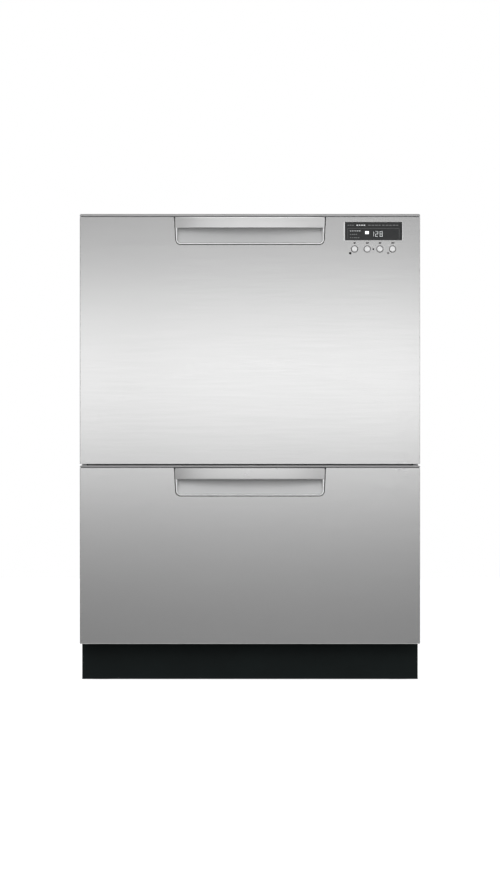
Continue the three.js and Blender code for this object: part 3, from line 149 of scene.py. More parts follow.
class Shader(Tree):
    """A material. Its keywords are constants on the Principled shader."""

    def __init__(self, name, **constants):
        self.material = bpy.data.materials.new(name)
        self.material.use_nodes = True
        super().__init__(self.material.node_tree)
        self.principled = self.tree.nodes["Principled BSDF"]
        for key, value in constants.items():
            self.to(value, key.replace("_", " ").title().replace("Ior", "IOR"))

    def to(self, value, name):
        self.put(value, self.principled.inputs[name])

    def surface(self, source):
        self.put(source, self.tree.nodes["Material Output"].inputs["Surface"])

    def coordinates(self, scale=(1, 1, 1)):
        """Object coordinates in metres, stretched by scale."""
        source = self.node("ShaderNodeTexCoord").outputs["Object"]
        return self.node("ShaderNodeMapping", {"Vector": source, "Scale": scale}).outputs["Vector"]

    def noise(self, scale, stretch=(1, 1, 1), detail=3, roughness=0.5):
        place = self.coordinates(stretch)
        inputs = {"Scale": scale, "Detail": detail, "Roughness": roughness, "Vector": place}
        return self.node("ShaderNodeTexNoise", inputs).outputs["Fac"]

    def cells(self, scale, randomness=1):
        inputs = {"Scale": scale, "Randomness": randomness, "Vector": self.coordinates()}
        return self.node("ShaderNodeTexVoronoi", inputs, feature="F1")

    def ramp(self, factor, stops, interpolation="LINEAR"):
        node = self.node("ShaderNodeValToRGB", {"Fac": factor})
        node.color_ramp.interpolation = interpolation
        elements = node.color_ramp.elements
        while len(elements) < len(stops):
            elements.new(0.5)
        for element, (position, value) in zip(elements, stops):
            element.position = position
            element.color = colour(value)
        return node.outputs["Color"]

    def span(self, factor, low, high, start=0.3, end=0.7):
        """The factor's stretch from start to end, as low to high."""
        inputs = {"Value": factor, "From Min": start, "From Max": end, "To Min": low, "To Max": high}
        return self.node("ShaderNodeMapRange", inputs).outputs["Result"]

    def mix(self, factor, a, b, blend="MIX"):
        # Sockets 6 and 7 are the two colours, and output 2 their mix
        made = self.node("ShaderNodeMix", {0: factor, 6: a, 7: b}, data_type="RGBA", blend_type=blend)
        return made.outputs[2]

    def times(self, a, b):
        return self.mix(1, a, b, "MULTIPLY")

    def tint(self, tone, base):
        self.to(self.times(tone, base), "Base Color")

    def bump(self, height, distance, strength):
        inputs = {"Height": height, "Distance": distance, "Strength": strength}
        self.to(self.node("ShaderNodeBump", inputs).outputs["Normal"], "Normal")


# ---- materials


def brushed_steel(name, base, roughness, streak=0.012):
    """Stainless steel brushed along X: long streaks, and a highlight spread across them."""
    s = Shader(name, metallic=1, anisotropic=0.55, anisotropic_rotation=0.25)
    fine = s.noise(1100, (0.006, 1, 1), detail=2)
    broad = s.noise(350, (0.04, 1, 1), detail=1)
    tone = s.ramp(fine, [(0.3, 1 - streak), (0.7, 1)])
    s.tint(s.times(tone, s.ramp(broad, [(0.3, 1 - streak), (0.7, 1 + streak)])), base)
    s.to(s.span(fine, roughness * 0.97, roughness * 1.03), "Roughness")
    s.bump(fine, 4e-6, 0.2)
    s.to(s.node("ShaderNodeTangent", direction_type="RADIAL", axis="Z").outputs["Tangent"], "Tangent")
    return s.material


def finish(name, base, noise, tone, gloss, grain, **constants):
    """Tone and gloss follow one noise (scale, detail, roughness), and a finer one is its relief
    (scale, detail, distance, strength)."""
    s = Shader(name, **constants)
    uneven = s.noise(noise[0], detail=noise[1], roughness=noise[2])
    s.tint(s.ramp(uneven, tone), base)
    s.to(s.span(uneven, *gloss), "Roughness")
    s.bump(s.noise(grain[0], detail=grain[1]), *grain[2:])
    return s.material


def satin(name, base, roughness):
    """Metal with a fine even satin."""
    return finish(name, base, (35, 4, 0.5), [(0, 0.975), (1, 1)],
                  (roughness * 0.92, roughness * 1.1, 0, 1), (2500, 1, 8e-6, 0.4), metallic=1)


def moulded(name, base, roughness, speckle=0.03, metallic=0):
    """Moulded plastic with a fine spark-eroded grain."""
    return finish(name, base, (9, 5, 0.6), [(0.3, 1 - speckle), (0.7, 1 + speckle)],
                  (roughness * 0.9, roughness * 1.12), (1400, 2, 6e-5, 0.4), metallic=metallic)


def coated_wire(name, base):
    """Nylon dip coat on wire, slightly wavy where it pooled."""
    return finish(name, base, (160, 3, 0.5), [(0.3, 0.94), (0.7, 1.04)], (0.3, 0.45),
                  (160, 3, 1.5e-4, 0.35), coat_weight=0.25, coat_roughness=0.2)


def galvanised(name, base):
    """Zinc-coated sheet with a faint spangle."""
    s = Shader(name, metallic=0.9)
    grey = s.node("ShaderNodeSeparateColor", {"Color": s.cells(95).outputs["Color"]})
    spangle = s.ramp(grey.outputs[0], [(0, 0.93), (1, 1.03)])
    soil = s.ramp(s.noise(5, detail=6, roughness=0.6), [(0.2, 0.95), (0.8, 1.03)])
    s.tint(s.times(spangle, soil), base)
    s.to(s.span(grey.outputs[1], 0.42, 0.47, 0, 1), "Roughness")
    s.bump(s.noise(350, detail=2), 3e-5, 0.5)
    return s.material


def painted(name, base, roughness=0.45):
    """Powder coat: orange peel and a trace of dust."""
    s, base = Shader(name, specular_ior_level=0.12), colour(base)[:3]
    dust = s.noise(14, detail=6, roughness=0.65)
    s.to(s.mix(s.span(dust, 0, 0.35, 0.45, 0.8), base, [c * 1.9 + 0.002 for c in base]), "Base Color")
    s.to(s.span(dust, roughness, roughness + 0.12), "Roughness")
    s.bump(s.noise(420, detail=3), 8e-5, 0.35)
    return s.material


def rubber(name, base):
    s = Shader(name, sheen_weight=0.15, sheen_roughness=0.5)
    bloom = s.noise(25, detail=5)
    s.to(s.mix(s.span(bloom, 0, 0.5), base, [c * 1.5 for c in base]), "Base Color")
    s.to(s.span(bloom, 0.55, 0.72), "Roughness")
    s.bump(s.noise(900, detail=2), 5e-5, 0.5)
    return s.material


def perforated_steel(name, base):
    """Filter sheet: steel with rows of small round holes, which are dark dots of painted shade with a
    dent.
    """
    s = Shader(name, metallic=1)
    # Dark dots where the holes are: painted shade, also used as the dent.
    hole_shade_and_dent = s.ramp(s.cells(260, 0).outputs["Distance"], [(0.26, 0.05), (0.34, 1)])
    s.tint(hole_shade_and_dent, base)
    s.to(s.span(s.noise(300), 0.26, 0.36), "Roughness")
    s.bump(hole_shade_and_dent, 2e-4, 0.6)
    return s.material


def smoked_lens(name):
    """The display's dark lens: polished, with fine dust on it."""
    s = Shader(name, coat_weight=0.3, coat_roughness=0.05)
    dust = s.noise(600, detail=4)
    s.to(s.ramp(dust, [(0.35, (0.02, 0.0205, 0.021)), (0.75, (0.024, 0.0245, 0.025))]), "Base Color")
    s.to(s.span(dust, 0.12, 0.2), "Roughness")
    return s.material


def lit(name, base, strength):
    """A lit mark, slightly uneven, as a light guide is."""
    s = Shader(name, emission_strength=strength, roughness=0.5)
    tone = s.times(s.ramp(s.noise(700, detail=3), [(0.3, 0.88), (0.7, 1)]), base)
    s.to(tone, "Base Color")
    s.to(tone, "Emission Color")
    return s.material


# One brushed steel in two copies: the lower front's is a little darker, as painted shade.
FRONT_STEEL_LIT_AND_SHADED = by_drawer(brushed_steel("steel_brushed", 0.62, 0.25),
                        brushed_steel("steel_brushed_low_painted_shade", 0.6, 0.25))
# One satin steel in two copies: the upper grip's is much lighter, a painted highlight, and the lower's
# darker, painted shade.
GRIP_STEEL_LIT_AND_SHADED = by_drawer(satin("steel_grip", 0.97, 0.28), satin("steel_grip_low_painted_shade", 0.64, 0.28))
# One silver plastic in two copies: the lower pocket's is lighter, as painted light, and the upper's
# darker, as painted shade.
POCKET_LIT_AND_SHADED = by_drawer(moulded("pocket_silver", 0.385, 0.5), moulded("pocket_silver_low_painted_light", 0.435, 0.5))
RUNNER_STEEL = brushed_steel("steel_runner", (0.55, 0.56, 0.57), 0.3, streak=0.04)
FILTER_STEEL = perforated_steel("steel_filter", 0.6)
ZINC = galvanised("zinc_sheet", (0.5, 0.51, 0.52))
BLACK = painted("black_coat", (0.0028, 0.005, 0.005))
CAP = moulded("cap_silver", 0.4, 0.34, metallic=0.9)
# Near-black for strips set in seams and grooves where there is only shade: painted shade.
SHADE_BLACK = painted("painted_shade_black", 0.002, 0.7)
# Near-white satin for thin strips along edges: a painted highlight.
HIGHLIGHT_SATIN = satin("painted_highlight_satin", 0.98, 0.4)
TUB = moulded("tub_grey", (0.62, 0.64, 0.645), 0.4)
LID = moulded("lid_grey", (0.66, 0.67, 0.67), 0.42)
ARM = moulded("arm_grey", (0.3, 0.31, 0.32), 0.38)
BASKET = moulded("basket_grey", (0.32, 0.335, 0.35), 0.42)
DARK = moulded("dark_plastic", (0.035, 0.038, 0.042), 0.5)
DISPENSER = moulded("dispenser_grey", (0.4, 0.41, 0.42), 0.38)
BUTTON = moulded("button_metallised", 0.82, 0.42, metallic=0.9, speckle=0.02)
WIRE = coated_wire("rack_coat", (0.42, 0.44, 0.46))
RUBBER = rubber("seal_rubber", (0.055, 0.056, 0.06))
LENS = smoked_lens("display_lens")
INK = painted("print_dark", 0.012, 0.6)
INK_PALE = moulded("print_grey", 0.12, 0.6)
GLOW = lit("display_glow", (0.9, 0.92, 0.92), 0.75)
DIM = lit("display_dim", (0.1, 0.103, 0.103), 0.45)
HALF = lit("display_half", (0.42, 0.43, 0.43), 0.6)


def each(*parts):
    return [f"{drawer}_{part}" for drawer in DRAWERS for part in parts]


def starting(*starts):
    return [node for name, node in NODES.items() if name.startswith(starts)]


def dress(material, *starts):
    for node in starting(*starts):
        node.data.materials.clear()
        node.data.materials.append(material)


dress(ZINC, "side_panel", "top_panel", "rear_panel", "centre_rail", "base_tray")
dress(BLACK, "toe_kick")
dress(LID, *each("lid"))
dress(RUBBER, *each("lid_seal"))
dress(DARK, "inlet_valve", *each("wash_motor", "lid_actuator"))
dress(DISPENSER, *each("dispenser"))
dress(RUNNER_STEEL, *each("runner"))
dress(LENS, "display_window")

# ---- mesh helpers

WELD = 1e-6  # points closer than this, in metres, are one
QUARTER = math.pi / 2


def weld(mesh):
    """Joins doubled points and turns every face outwards."""
    work = bmesh.new()
    work.from_mesh(mesh)
    bmesh.ops.remove_doubles(work, verts=work.verts, dist=WELD)
    bmesh.ops.recalc_face_normals(work, faces=work.faces)
    work.to_mesh(mesh)
    work.free()


def bevel_edges(piece, width, angle=30):
    bevel = piece.modifiers.new("edges", "BEVEL")
    bevel.width = width * MM
    bevel.segments = 2
    bevel.limit_method = "ANGLE"
    bevel.angle_limit = math.radians(angle)


class Mesh:
    """One piece's points and faces. Its names start with the drawer's, if it has one."""

    def __init__(self, drawer=None):
        self.prefix = f"{drawer}_" if drawer else ""
        self.points, self.faces = [], []

    def add(self, points, faces):
        start = len(self.points)
        self.points += points
        self.faces += [tuple(start + i for i in face) for face in faces]

    def face(self, points):
        self.add(points, [tuple(range(len(points)))])

    def fill(self, loops, drop):
        """The first loop filled, less the others, which are flat along the axis drop."""
        outlines = [[Vector([*point[:drop], *point[drop + 1:], 0]) for point in loop] for loop in loops]
        triangles = [tuple(t) for t in tessellate_polygon(outlines)]
        self.add([point for loop in loops for point in loop], triangles)

    def skin(self, rings, closed=True, caps=True):
        """Quads between rings of equally many points. closed joins a ring's ends."""
        count = len(rings[0])
        faces = []
        for r in range(len(rings) - 1):
            for i in range(count if closed else count - 1):
                j = (i + 1) % count
                a, b = r * count, (r + 1) * count
                faces.append((a + i, a + j, b + j, b + i))
        if caps:
            last = (len(rings) - 1) * count
            faces.append(tuple(range(count - 1, -1, -1)))
            faces.append(tuple(last + i for i in range(count)))
        self.add([point for ring in rings for point in ring], faces)
        return self

    def block(self, low, high):
        x0, y0, z0 = low
        x1, y1, z1 = high
        self.skin([[(x0, y0, z), (x1, y0, z), (x1, y1, z), (x0, y1, z)] for z in (z0, z1)])

    def piece(self, name, material, body, slot, replaces=None, welded=False, smooth=35, weighted=False):
        """The mesh as a piece of the object. Edges over smooth degrees stay sharp."""
        data = bpy.data.meshes.new(self.prefix + name)
        data.from_pydata([Vector(point) * MM for point in self.points], [], self.faces)
        data.validate()
        if welded:
            weld(data)
        data.materials.append(material)
        data.shade_smooth()
        data.set_sharp_from_angle(angle=math.radians(smooth))
        piece = linked(data.name, data)
        if weighted:
            modifier = piece.modifiers.new("weighted", "WEIGHTED_NORMAL")
            modifier.keep_sharp = True
            modifier.weight = 100
        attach(piece, self.prefix + body)
        if replaces:
            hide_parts(self.prefix + replaces)
        return piece


def arc(cx, cy, r, start, end, steps):
    """Points on an arc, in degrees."""
    angles = [math.radians(a) for a in spread(steps + 1, start, end)]
    return [(cx + r * math.cos(a), cy + r * math.sin(a)) for a in angles]


def ring_of(radius, steps, cx=0, cy=0):
    return arc(cx, cy, radius, 0, 360, steps)[:-1]


def rounded_corners(half_x, half_y, r, steps):
    ring = []
    for sx, sy, start in ((1, 1, 0), (-1, 1, 90), (-1, -1, 180), (1, -1, 270)):
        ring += arc(sx * (half_x - r), sy * (half_y - r), r, start, start + 90, steps)
    return ring


def revolve(profile, centre, axis, steps):
    """Rings of a lathed surface: profile is (radius, distance along axis)."""
    rings = []
    for r, along in profile:
        ring = []
        for i in range(steps):
            a = 2 * math.pi * i / steps
            u, v = r * math.cos(a), r * math.sin(a)
            offset = {"y": (u, along, v), "z": (u, v, along), "x": (along, u, v)}[axis]
            ring.append(tuple(c + o for c, o in zip(centre, offset)))
        rings.append(ring)
    return rings


# ---- fronts

TUB_Y = -3.85  # the middle of the tubs
TUB_RIM = by_drawer(788, 366.4)
TUB_FLOOR = by_drawer(471.5, 106.3)
LEDGE_RISE = 46  # of the rack's ledge above the tub's floor
TUB_SHORTER = 20.85  # a tub is this much shorter than wide, each side
SHEET = 1.2
SHEET_ROUND = 0.35
SKIN_CORNER = 1.2
HANDLE_SEAM = 1.9  # between the skin's opening and the pocket, at its sides
HANDLE_SEAM_BELOW = by_drawer(1.45, 2.3)
EDGE_DROP = 0.45  # of the skin's and the grip's top edge, which widens the seam under the cap
SIDE_EASE = 3.4  # the skin's folded side edges are rounder than its cut edges by this factor
FOOT_EASE = by_drawer(1, 3.4)  # and its lower edge
SKIN_HANG = by_drawer(0.6, -0.3)  # of the skin's lower edge below the frame
LENS_LAP = (1.8, 1.8, 2.5)  # of the skin over the lens: at its ends, below and above it
BUTTON_HOLE = 6.0
BUTTON_FACE = 4.9  # the groove round it, dark with painted shade, is a little over a millimetre wide
HANDLE_TAPER = 2.3
HANDLE_CORNER = 9.5
GRIP_HANG = by_drawer(0.2, 1.3)  # of the grip's hem
GRIP_SHEET = 2.4
GRIP_HEM = 5
GRIP_ROUND = 1.1
GRIP_STATIONS = 65
SEAM_WIDTH = 1.45  # from the skin's opening to the pocket's rim
SEAM_SHADE_DEEP = 0.9  # behind the fronts' face
POCKET_RIM = 1.8
POCKET_HOLLOW = 4.5
POCKET_LEAN = 3
POCKET_WALL = 0.8
BEAD_WIDTH = 1.8
BEAD_ROUND = 0.2
BEAD_DEEP = 0.1
POST_END, POST_SLANT = 260.8, 6  # of the frame's posts, along the tub's front wall
CAP_SEAM = 0.7
CAP_ROUND = 0.35
CAP_CORNER = 3
CAP_SET_BACK = 0.4
CAP_DROP = by_drawer(0, 0.85)  # of the cap's top


def lower_corners(left, right, bottom, r, steps):
    z = bottom + r
    return arc(left + r, z, r, 180, 270, steps) + arc(right - r, z, r, 270, 360, steps)


def handle_line(half, bottom, r, top, steps):
    """Down, across and up round the handle."""
    foot = half - HANDLE_TAPER
    return [(-half, top), *lower_corners(-foot, foot, bottom, r, steps), (half, top)]


def handle_notch(drawer, grow=0, steps=8):
    """The skin's handle opening, widened by grow."""
    low, high = box(f"{drawer}_handle_pocket")
    top = box(f"{drawer}_front_skin")[1].z - EDGE_DROP
    bottom = low.z - HANDLE_SEAM_BELOW[drawer] - grow
    return handle_line(high.x + HANDLE_SEAM + grow, bottom, HANDLE_CORNER + grow, top, steps)


def front_outline(drawer, drawn_back):
    """The skin's outer edge with the handle opening let into its top."""
    low, high = box(f"{drawer}_front_skin")
    left, right = low.x + drawn_back * SIDE_EASE, high.x - drawn_back * SIDE_EASE
    bottom = low.z - SKIN_HANG[drawer] + drawn_back * FOOT_EASE[drawer]
    top = high.z - EDGE_DROP
    corners = lower_corners(left, right, bottom, SKIN_CORNER, 4)
    return [(left, top), *corners, (right, top), *handle_notch(drawer, drawn_back)[::-1]]


def display_outline(drawn_back):
    low, high = box("display_window")
    end, below, above = (lap - drawn_back for lap in LENS_LAP)
    left, right, bottom, top = low.x + end, high.x - end, low.z + below, high.z - above
    return [(left, bottom), (left, top), (right, top), (right, bottom)]


def button_centre(i):
    low, high = box(f"button_{i}")
    return (low + high) / 2


def button_outline(i):
    centre = button_centre(i)
    return lambda drawn_back: arc(centre.x, centre.z, BUTTON_HOLE + drawn_back, 360, 0, 40)[:-1]


def make_front_skin(drawer):
    """A folded sheet. Each outline is drawn back as the sheet's edge rounds over."""
    low, high = box(f"{drawer}_front_skin")
    loops = [lambda drawn_back: front_outline(drawer, drawn_back)]
    if drawer == "upper":
        loops += [display_outline, *map(button_outline, range(1, 5))]
    mesh = Mesh(drawer)
    r = SHEET_ROUND
    depths = [(r * (1 - math.sin(a)), r * (1 - math.cos(a))) for a in spread(5, 0, QUARTER)]
    levels = [[[(x, low.y + deep, z) for x, z in loop(back)] for loop in loops]
              for back, deep in [*depths, (0, SHEET)]]
    for rings in zip(*levels):
        mesh.skin(rings, caps=False)
    mesh.fill(levels[0], drop=1)
    mesh.fill(levels[-1], drop=1)
    inner, top = low.y + SHEET, high.z - EDGE_DROP
    mesh.block((low.x, inner, low.z + SHEET), (low.x + SHEET, high.y, top))
    mesh.block((high.x - SHEET, inner, low.z + SHEET), (high.x, high.y, top))
    mesh.block((low.x + SHEET, inner, low.z), (high.x - SHEET, high.y, low.z + SHEET))
    mesh.piece("skin", FRONT_STEEL_LIT_AND_SHADED[drawer], "drawer", "stainless",
               replaces="front_skin", welded=True, weighted=True)


def make_grip(drawer):
    """The bowed strip: one section swept along X, its front following the bow."""
    low, high = box(f"{drawer}_handle_grip")
    bow = FACE_Y - low.y
    notch_half = box(f"{drawer}_handle_pocket")[1].x + HANDLE_SEAM
    r = GRIP_ROUND
    top, foot = high.z - EDGE_DROP, low.z - GRIP_HANG[drawer]
    under, hem_top = top - GRIP_SHEET, foot + GRIP_SHEET
    rings = []
    for x in spread(GRIP_STATIONS, low.x, high.x):
        front = FACE_Y - bow * (1 - (x / notch_half) ** 2)
        section = [
            *arc(front + r, top - r, r, 180, 90, 4),
            (high.y, top), (high.y, under), (front + GRIP_SHEET, under), (front + GRIP_SHEET, hem_top),
            *arc(front + GRIP_HEM - r, hem_top - r, r, 90, -90, 6),
            *arc(front + r, foot + r, r, 270, 180, 4),
        ]
        rings.append([(x, y, z) for y, z in section])
    Mesh(drawer).skin(rings).piece("grip", GRIP_STEEL_LIT_AND_SHADED[drawer], "drawer", "grip_steel",
            replaces="handle_grip", welded=True, weighted=True)


def make_pocket(drawer):
    """The scoop behind the grip: a rolled rim, a small hollow, and a wall that leans back."""
    low, high = box(f"{drawer}_handle_pocket")
    depth = high.y - low.y - 2
    rise = high.z - low.z - 2 * POCKET_RIM
    edge, foot = SEAM_WIDTH - HANDLE_SEAM, SEAM_WIDTH - HANDLE_SEAM_BELOW[drawer]
    # From the rim to the back: how far in from the side, up from below, and how deep
    profile = [(edge, foot, 6), (edge, foot, 0.5), (edge + 0.4, foot + 0.4, 0.3),
               (edge + BEAD_WIDTH, foot + BEAD_WIDTH, 0.6)]
    for share in spread(7, 0, 1)[1:]:
        a = QUARTER * share
        profile.append((edge + POCKET_RIM + 0.5 * share,
                        foot + POCKET_RIM + 0.6 * POCKET_HOLLOW * (1 - math.cos(a)),
                        0.1 + POCKET_HOLLOW * math.sin(a)))
    side, up, deep = profile[-1]
    for t in spread(9, 0, 1)[1:]:
        profile.append((side + POCKET_LEAN * t, up + (rise - up) * t, deep + (depth - deep) * t))
    rings = []
    for side, up, deep in profile:
        r = max(HANDLE_CORNER - HANDLE_SEAM - side, 4)
        line = handle_line(high.x - side, low.z + up, r, high.z, 8)
        rings.append([(x, low.y + deep, z) for x, z in line])
    mesh = Mesh(drawer).skin(rings, closed=False, caps=False)
    mesh.face(rings[-1])
    piece = mesh.piece("pocket", POCKET_LIT_AND_SHADED[drawer], "drawer", "silver_plastic",
                       replaces="handle_pocket", smooth=50)
    wall = piece.modifiers.new("wall", "SOLIDIFY")
    wall.thickness = POCKET_WALL * MM
    wall.offset = -1


# A near-black strip filling the seam round the pocket: painted shade.
def make_seam_shade(drawer):
    outer, inner = handle_notch(drawer), handle_notch(drawer, -SEAM_WIDTH)
    front, back = FACE_Y + SEAM_SHADE_DEEP, FACE_Y + SEAM_SHADE_DEEP + 1
    rings = [[(x, y, z) for x, z in line]
             for line, y in ((outer, front), (inner, front), (inner, back), (outer, back))]
    mesh = Mesh(drawer).skin(rings + rings[:1], closed=False, caps=False)
    for end in (0, -1):
        mesh.face([ring[end] for ring in rings])
    mesh.piece("pocket_seam_shade", SHADE_BLACK, "drawer", "seal_rubber", welded=True)


def make_bead(drawer):
    """The bead round the pocket's mouth, near-white as a painted highlight."""
    half, r = BEAD_WIDTH / 2, BEAD_ROUND
    line = handle_notch(drawer, -SEAM_WIDTH - half, steps=12)[1:-1]
    top = box(f"{drawer}_front_skin")[1].z - 1.2
    line = [(line[0][0], top), *line, (line[-1][0], top)]
    left = [(-half, 2), (-half, r), *[(-half + r - u, r - v) for u, v in arc(0, 0, r, 0, 90, 3)]]
    section = left + [(-across, deep) for across, deep in reversed(left)]
    rings = []
    for i, (x, z) in enumerate(line):
        before, after = Vector(line[max(0, i - 1)]), Vector(line[min(len(line) - 1, i + 1)])
        along = (after - before).normalized()
        rings.append([(x + along.y * across, FACE_Y + BEAD_DEEP + deep, z - along.x * across)
                      for across, deep in section])
    Mesh(drawer).skin(rings).piece("pocket_bead", HIGHLIGHT_SATIN, "drawer", "silver_plastic",
            welded=True, weighted=True)


def make_cap(drawer):
    """A rounded strip along the front's top edge, its ends rounded down."""
    low, high = box(f"{drawer}_front_frame")
    skin_back, skin_top = box(f"{drawer}_front_skin")[1].yz
    high.z -= CAP_DROP[drawer]
    top, bottom = high.z, skin_top + CAP_SEAM
    front, r, blunt, ease = FACE_Y + CAP_SET_BACK, CAP_ROUND, 0.6, 0.25
    section = [(front + ease, bottom), (front, bottom + ease), *arc(front + r, top - r, r, 180, 90, 10),
               (skin_back - blunt, top), (skin_back, top - blunt), (skin_back, bottom)]
    inset = [CAP_CORNER * (1 - math.cos(a)) for a in spread(9, 0, QUARTER)]
    stations = [(low.x + d, d) for d in inset] + [(high.x - d, d) for d in reversed(inset)]
    rings = []
    for x, d in stations:
        ceiling = top - (CAP_CORNER - math.sqrt(max(0, CAP_CORNER**2 - (CAP_CORNER - d) ** 2)))
        rings.append([(x, y, min(z, ceiling)) for y, z in section])
    Mesh(drawer).skin(rings).piece("cap", CAP, "drawer", "silver_plastic",
            replaces="front_frame", smooth=50, weighted=True)


def make_frame(drawer):
    """The frame behind the skin. It ends under the cap, and its posts at the tub's slanted wall."""
    node = NODES[f"{drawer}_front_frame"]
    cut_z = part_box(f"{drawer}_front_skin")[1].z + CAP_SEAM * MM + 0.1 * MM
    work = bmesh.new()
    work.from_mesh(node.data)
    work.transform(node.matrix_world)
    bmesh.ops.remove_doubles(work, verts=work.verts, dist=WELD)
    bmesh.ops.bisect_plane(work, geom=[*work.verts, *work.edges, *work.faces], dist=1e-7,
                           plane_co=(0, 0, cut_z), plane_no=(0, 0, 1), clear_outer=True)
    bmesh.ops.holes_fill(work, edges=[edge for edge in work.edges if edge.is_boundary])
    ledge, rim = (TUB_FLOOR[drawer] + LEDGE_RISE) * MM, TUB_RIM[drawer] * MM
    for vert in work.verts:
        half = POST_END * MM + POST_SLANT * MM * (vert.co.z - ledge) / (rim - ledge)
        vert.co.y = min(vert.co.y, TUB_Y * MM - half + TUB_SHORTER * MM)
    mesh = bpy.data.meshes.new(f"{drawer}_frame")
    work.to_mesh(mesh)
    work.free()
    mesh.materials.clear()
    mesh.materials.append(DARK)
    piece = linked(f"{drawer}_frame", mesh)
    bevel_edges(piece, 0.4)
    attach(piece, f"{drawer}_drawer")
    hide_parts(f"{drawer}_front_frame")


for drawer in DRAWERS:
    for make in (make_front_skin, make_grip, make_pocket, make_seam_shade, make_bead, make_cap, make_frame):
        make(drawer)

# ---- controls

MARK_THICK = 0.07
PRINT_Y = FACE_Y - 0.06
LENS_Y = box("display_window")[0].y - 0.03
FRAME_LINE = 0.3
DIGIT_STROKE = 0.34
SEGMENTS = {"1": "bc", "2": "abged", "8": "abcdefg"}

# Marks are placed by the photograph's pixels
LIT_SQUARE = (365.2, 368.8, 234, 231.2)
DIGITS = (("1", 372.6, 373.8), ("2", 375.4, 378), ("8", 379.9, 382.5))
DIGIT_ROWS = (236.5, 231.5)
DISPLAY_FRAME = (347.7, 399.3, 228.3, 238.6)
# Bars in place of words: how bright, from and to, row, height in millimetres and how many
WORDS = (
    ("dim", 347.5, 354.3, 225.2, 1.2, 3), ("dim", 368, 399.8, 225.2, 1.2, 9),
    ("half", 356.5, 365.9, 225.2, 1.7, 4), ("half", 350, 361, 230.9, 1, 5),
    ("dim", 350, 357.5, 234.4, 1.3, 4), ("dim", 350, 360, 237.7, 1.1, 5),
)


def make_button(i):
    """A push button with a domed face, and the sleeve that it runs in, near-black as painted shade in
    the groove round the button.
    """
    low, high = box(f"button_{i}")
    centre = button_centre(i)
    at, r, length = (centre.x, low.y, centre.z), BUTTON_FACE, high.y - low.y
    dome = [(0.05, 0), (2.4, 0.03), (3.9, 0.1), (4.5, 0.25), (4.8, 0.5)]
    flange = [(7.2, 2.9), (7.2, 4.4), (2.5, 4.4)]
    profile = [*dome, (r, 0.9), (r, 2.9), *flange, (2.5, length), (0.05, length)]
    mesh = Mesh().skin(revolve(profile, at, "y", 48))
    mesh.piece(f"push_button_{i}", BUTTON, f"button_body_{i}", "button_cap",
               replaces=f"button_{i}", welded=True)
    # The sleeve's face is near-black: painted shade in the groove.
    inner, outer = r + 0.15, BUTTON_HOLE - 0.02
    front, back = (FACE_Y - low.y + deep for deep in (0.35, 1.1))
    ring = [(inner, front), (outer, front), (outer, back), (inner, back), (inner, front)]
    groove_shade = Mesh().skin(revolve(ring, at, "y", 48), caps=False)
    groove_shade.piece(f"button_sleeve_{i}", SHADE_BLACK, "upper_drawer", "dark_plastic", welded=True)


def flat(mesh, outline, y):
    """A printed or lit mark: a film with its face at y, sunk into what carries it."""
    mesh.skin([[(x, y + deep, z) for x, z in outline] for deep in (MARK_THICK, 0)])


def bar(mesh, x0, x1, z0, z1, y):
    flat(mesh, [(x0, z0), (x1, z0), (x1, z1), (x0, z1)], y)


def seven_segment(mesh, digit, x0, x1, z0, z1):
    stroke, middle = DIGIT_STROKE, (z0 + z1) / 2
    gap, h = stroke * 0.18, stroke / 2
    left, right, inner = (x0, x0 + stroke), (x1 - stroke, x1), (x0 + h, x1 - h)
    lower, upper = (z0 + gap, middle - gap), (middle + gap, z1 - gap)
    places = {
        "a": (*inner, z1 - stroke, z1), "f": (*left, *upper), "b": (*right, *upper),
        "g": (*inner, middle - h, middle + h), "e": (*left, *lower), "c": (*right, *lower),
        "d": (*inner, z0, z0 + stroke),
    }
    for segment in SEGMENTS[digit]:
        bar(mesh, *places[segment], LENS_Y)


def row_of_bars(mesh, rng, x0, x1, z, height, count):
    step = (x1 - x0) / count
    for i in range(count):
        x = x0 + step * i
        bar(mesh, x, x + step * rng.uniform(0.55, 0.8), z - height / 2, z + height / 2, LENS_Y)


def on_photo(x0, x1, z0, z1):
    return photo_x(x0), photo_x(x1), photo_z(z0), photo_z(z1)


def make_display():
    rng = random.Random(5)
    meshes = {"glow": Mesh(), "dim": Mesh(), "half": Mesh()}
    glow, dim, half = meshes.values()
    bar(glow, *on_photo(*LIT_SQUARE), LENS_Y)
    for digit, left, right in DIGITS:
        seven_segment(glow, digit, *on_photo(left, right, *DIGIT_ROWS))
    for level, left, right, row, height, count in WORDS:
        row_of_bars(meshes[level], rng, photo_x(left), photo_x(right), photo_z(row), height, count)
    left, right, upper, lower = on_photo(*DISPLAY_FRAME)
    bar(dim, left, right, upper - FRAME_LINE, upper, LENS_Y)
    bar(dim, left, left + FRAME_LINE, lower, upper, LENS_Y)
    bar(dim, right - FRAME_LINE, right, lower, upper, LENS_Y)
    # Pale strips at the lens's ends, standing for the skin's bright cut edges: painted highlights
    edges = Mesh()
    (x0, z0), _, (x1, z1), _ = display_outline(0)
    proud, past = 0.15, 0.3
    for left, width in ((x0 - 1.7, 1.7), (x1, 0.8)):
        edges.block((left, FACE_Y - proud, z0 - past), (left + width, FACE_Y, z1 + past))
    edges.piece("display_edge_highlights", HIGHLIGHT_SATIN, "upper_drawer", "silver_plastic")
    glow.piece("display_digits", GLOW, "upper_drawer", "display_lens")
    dim.piece("display_rows", DIM, "upper_drawer", "display_lens")
    half.piece("display_words", HALF, "upper_drawer", "display_lens")


def disc(mesh, x, z, radius):
    flat(mesh, ring_of(radius, 24, x, z), PRINT_Y)


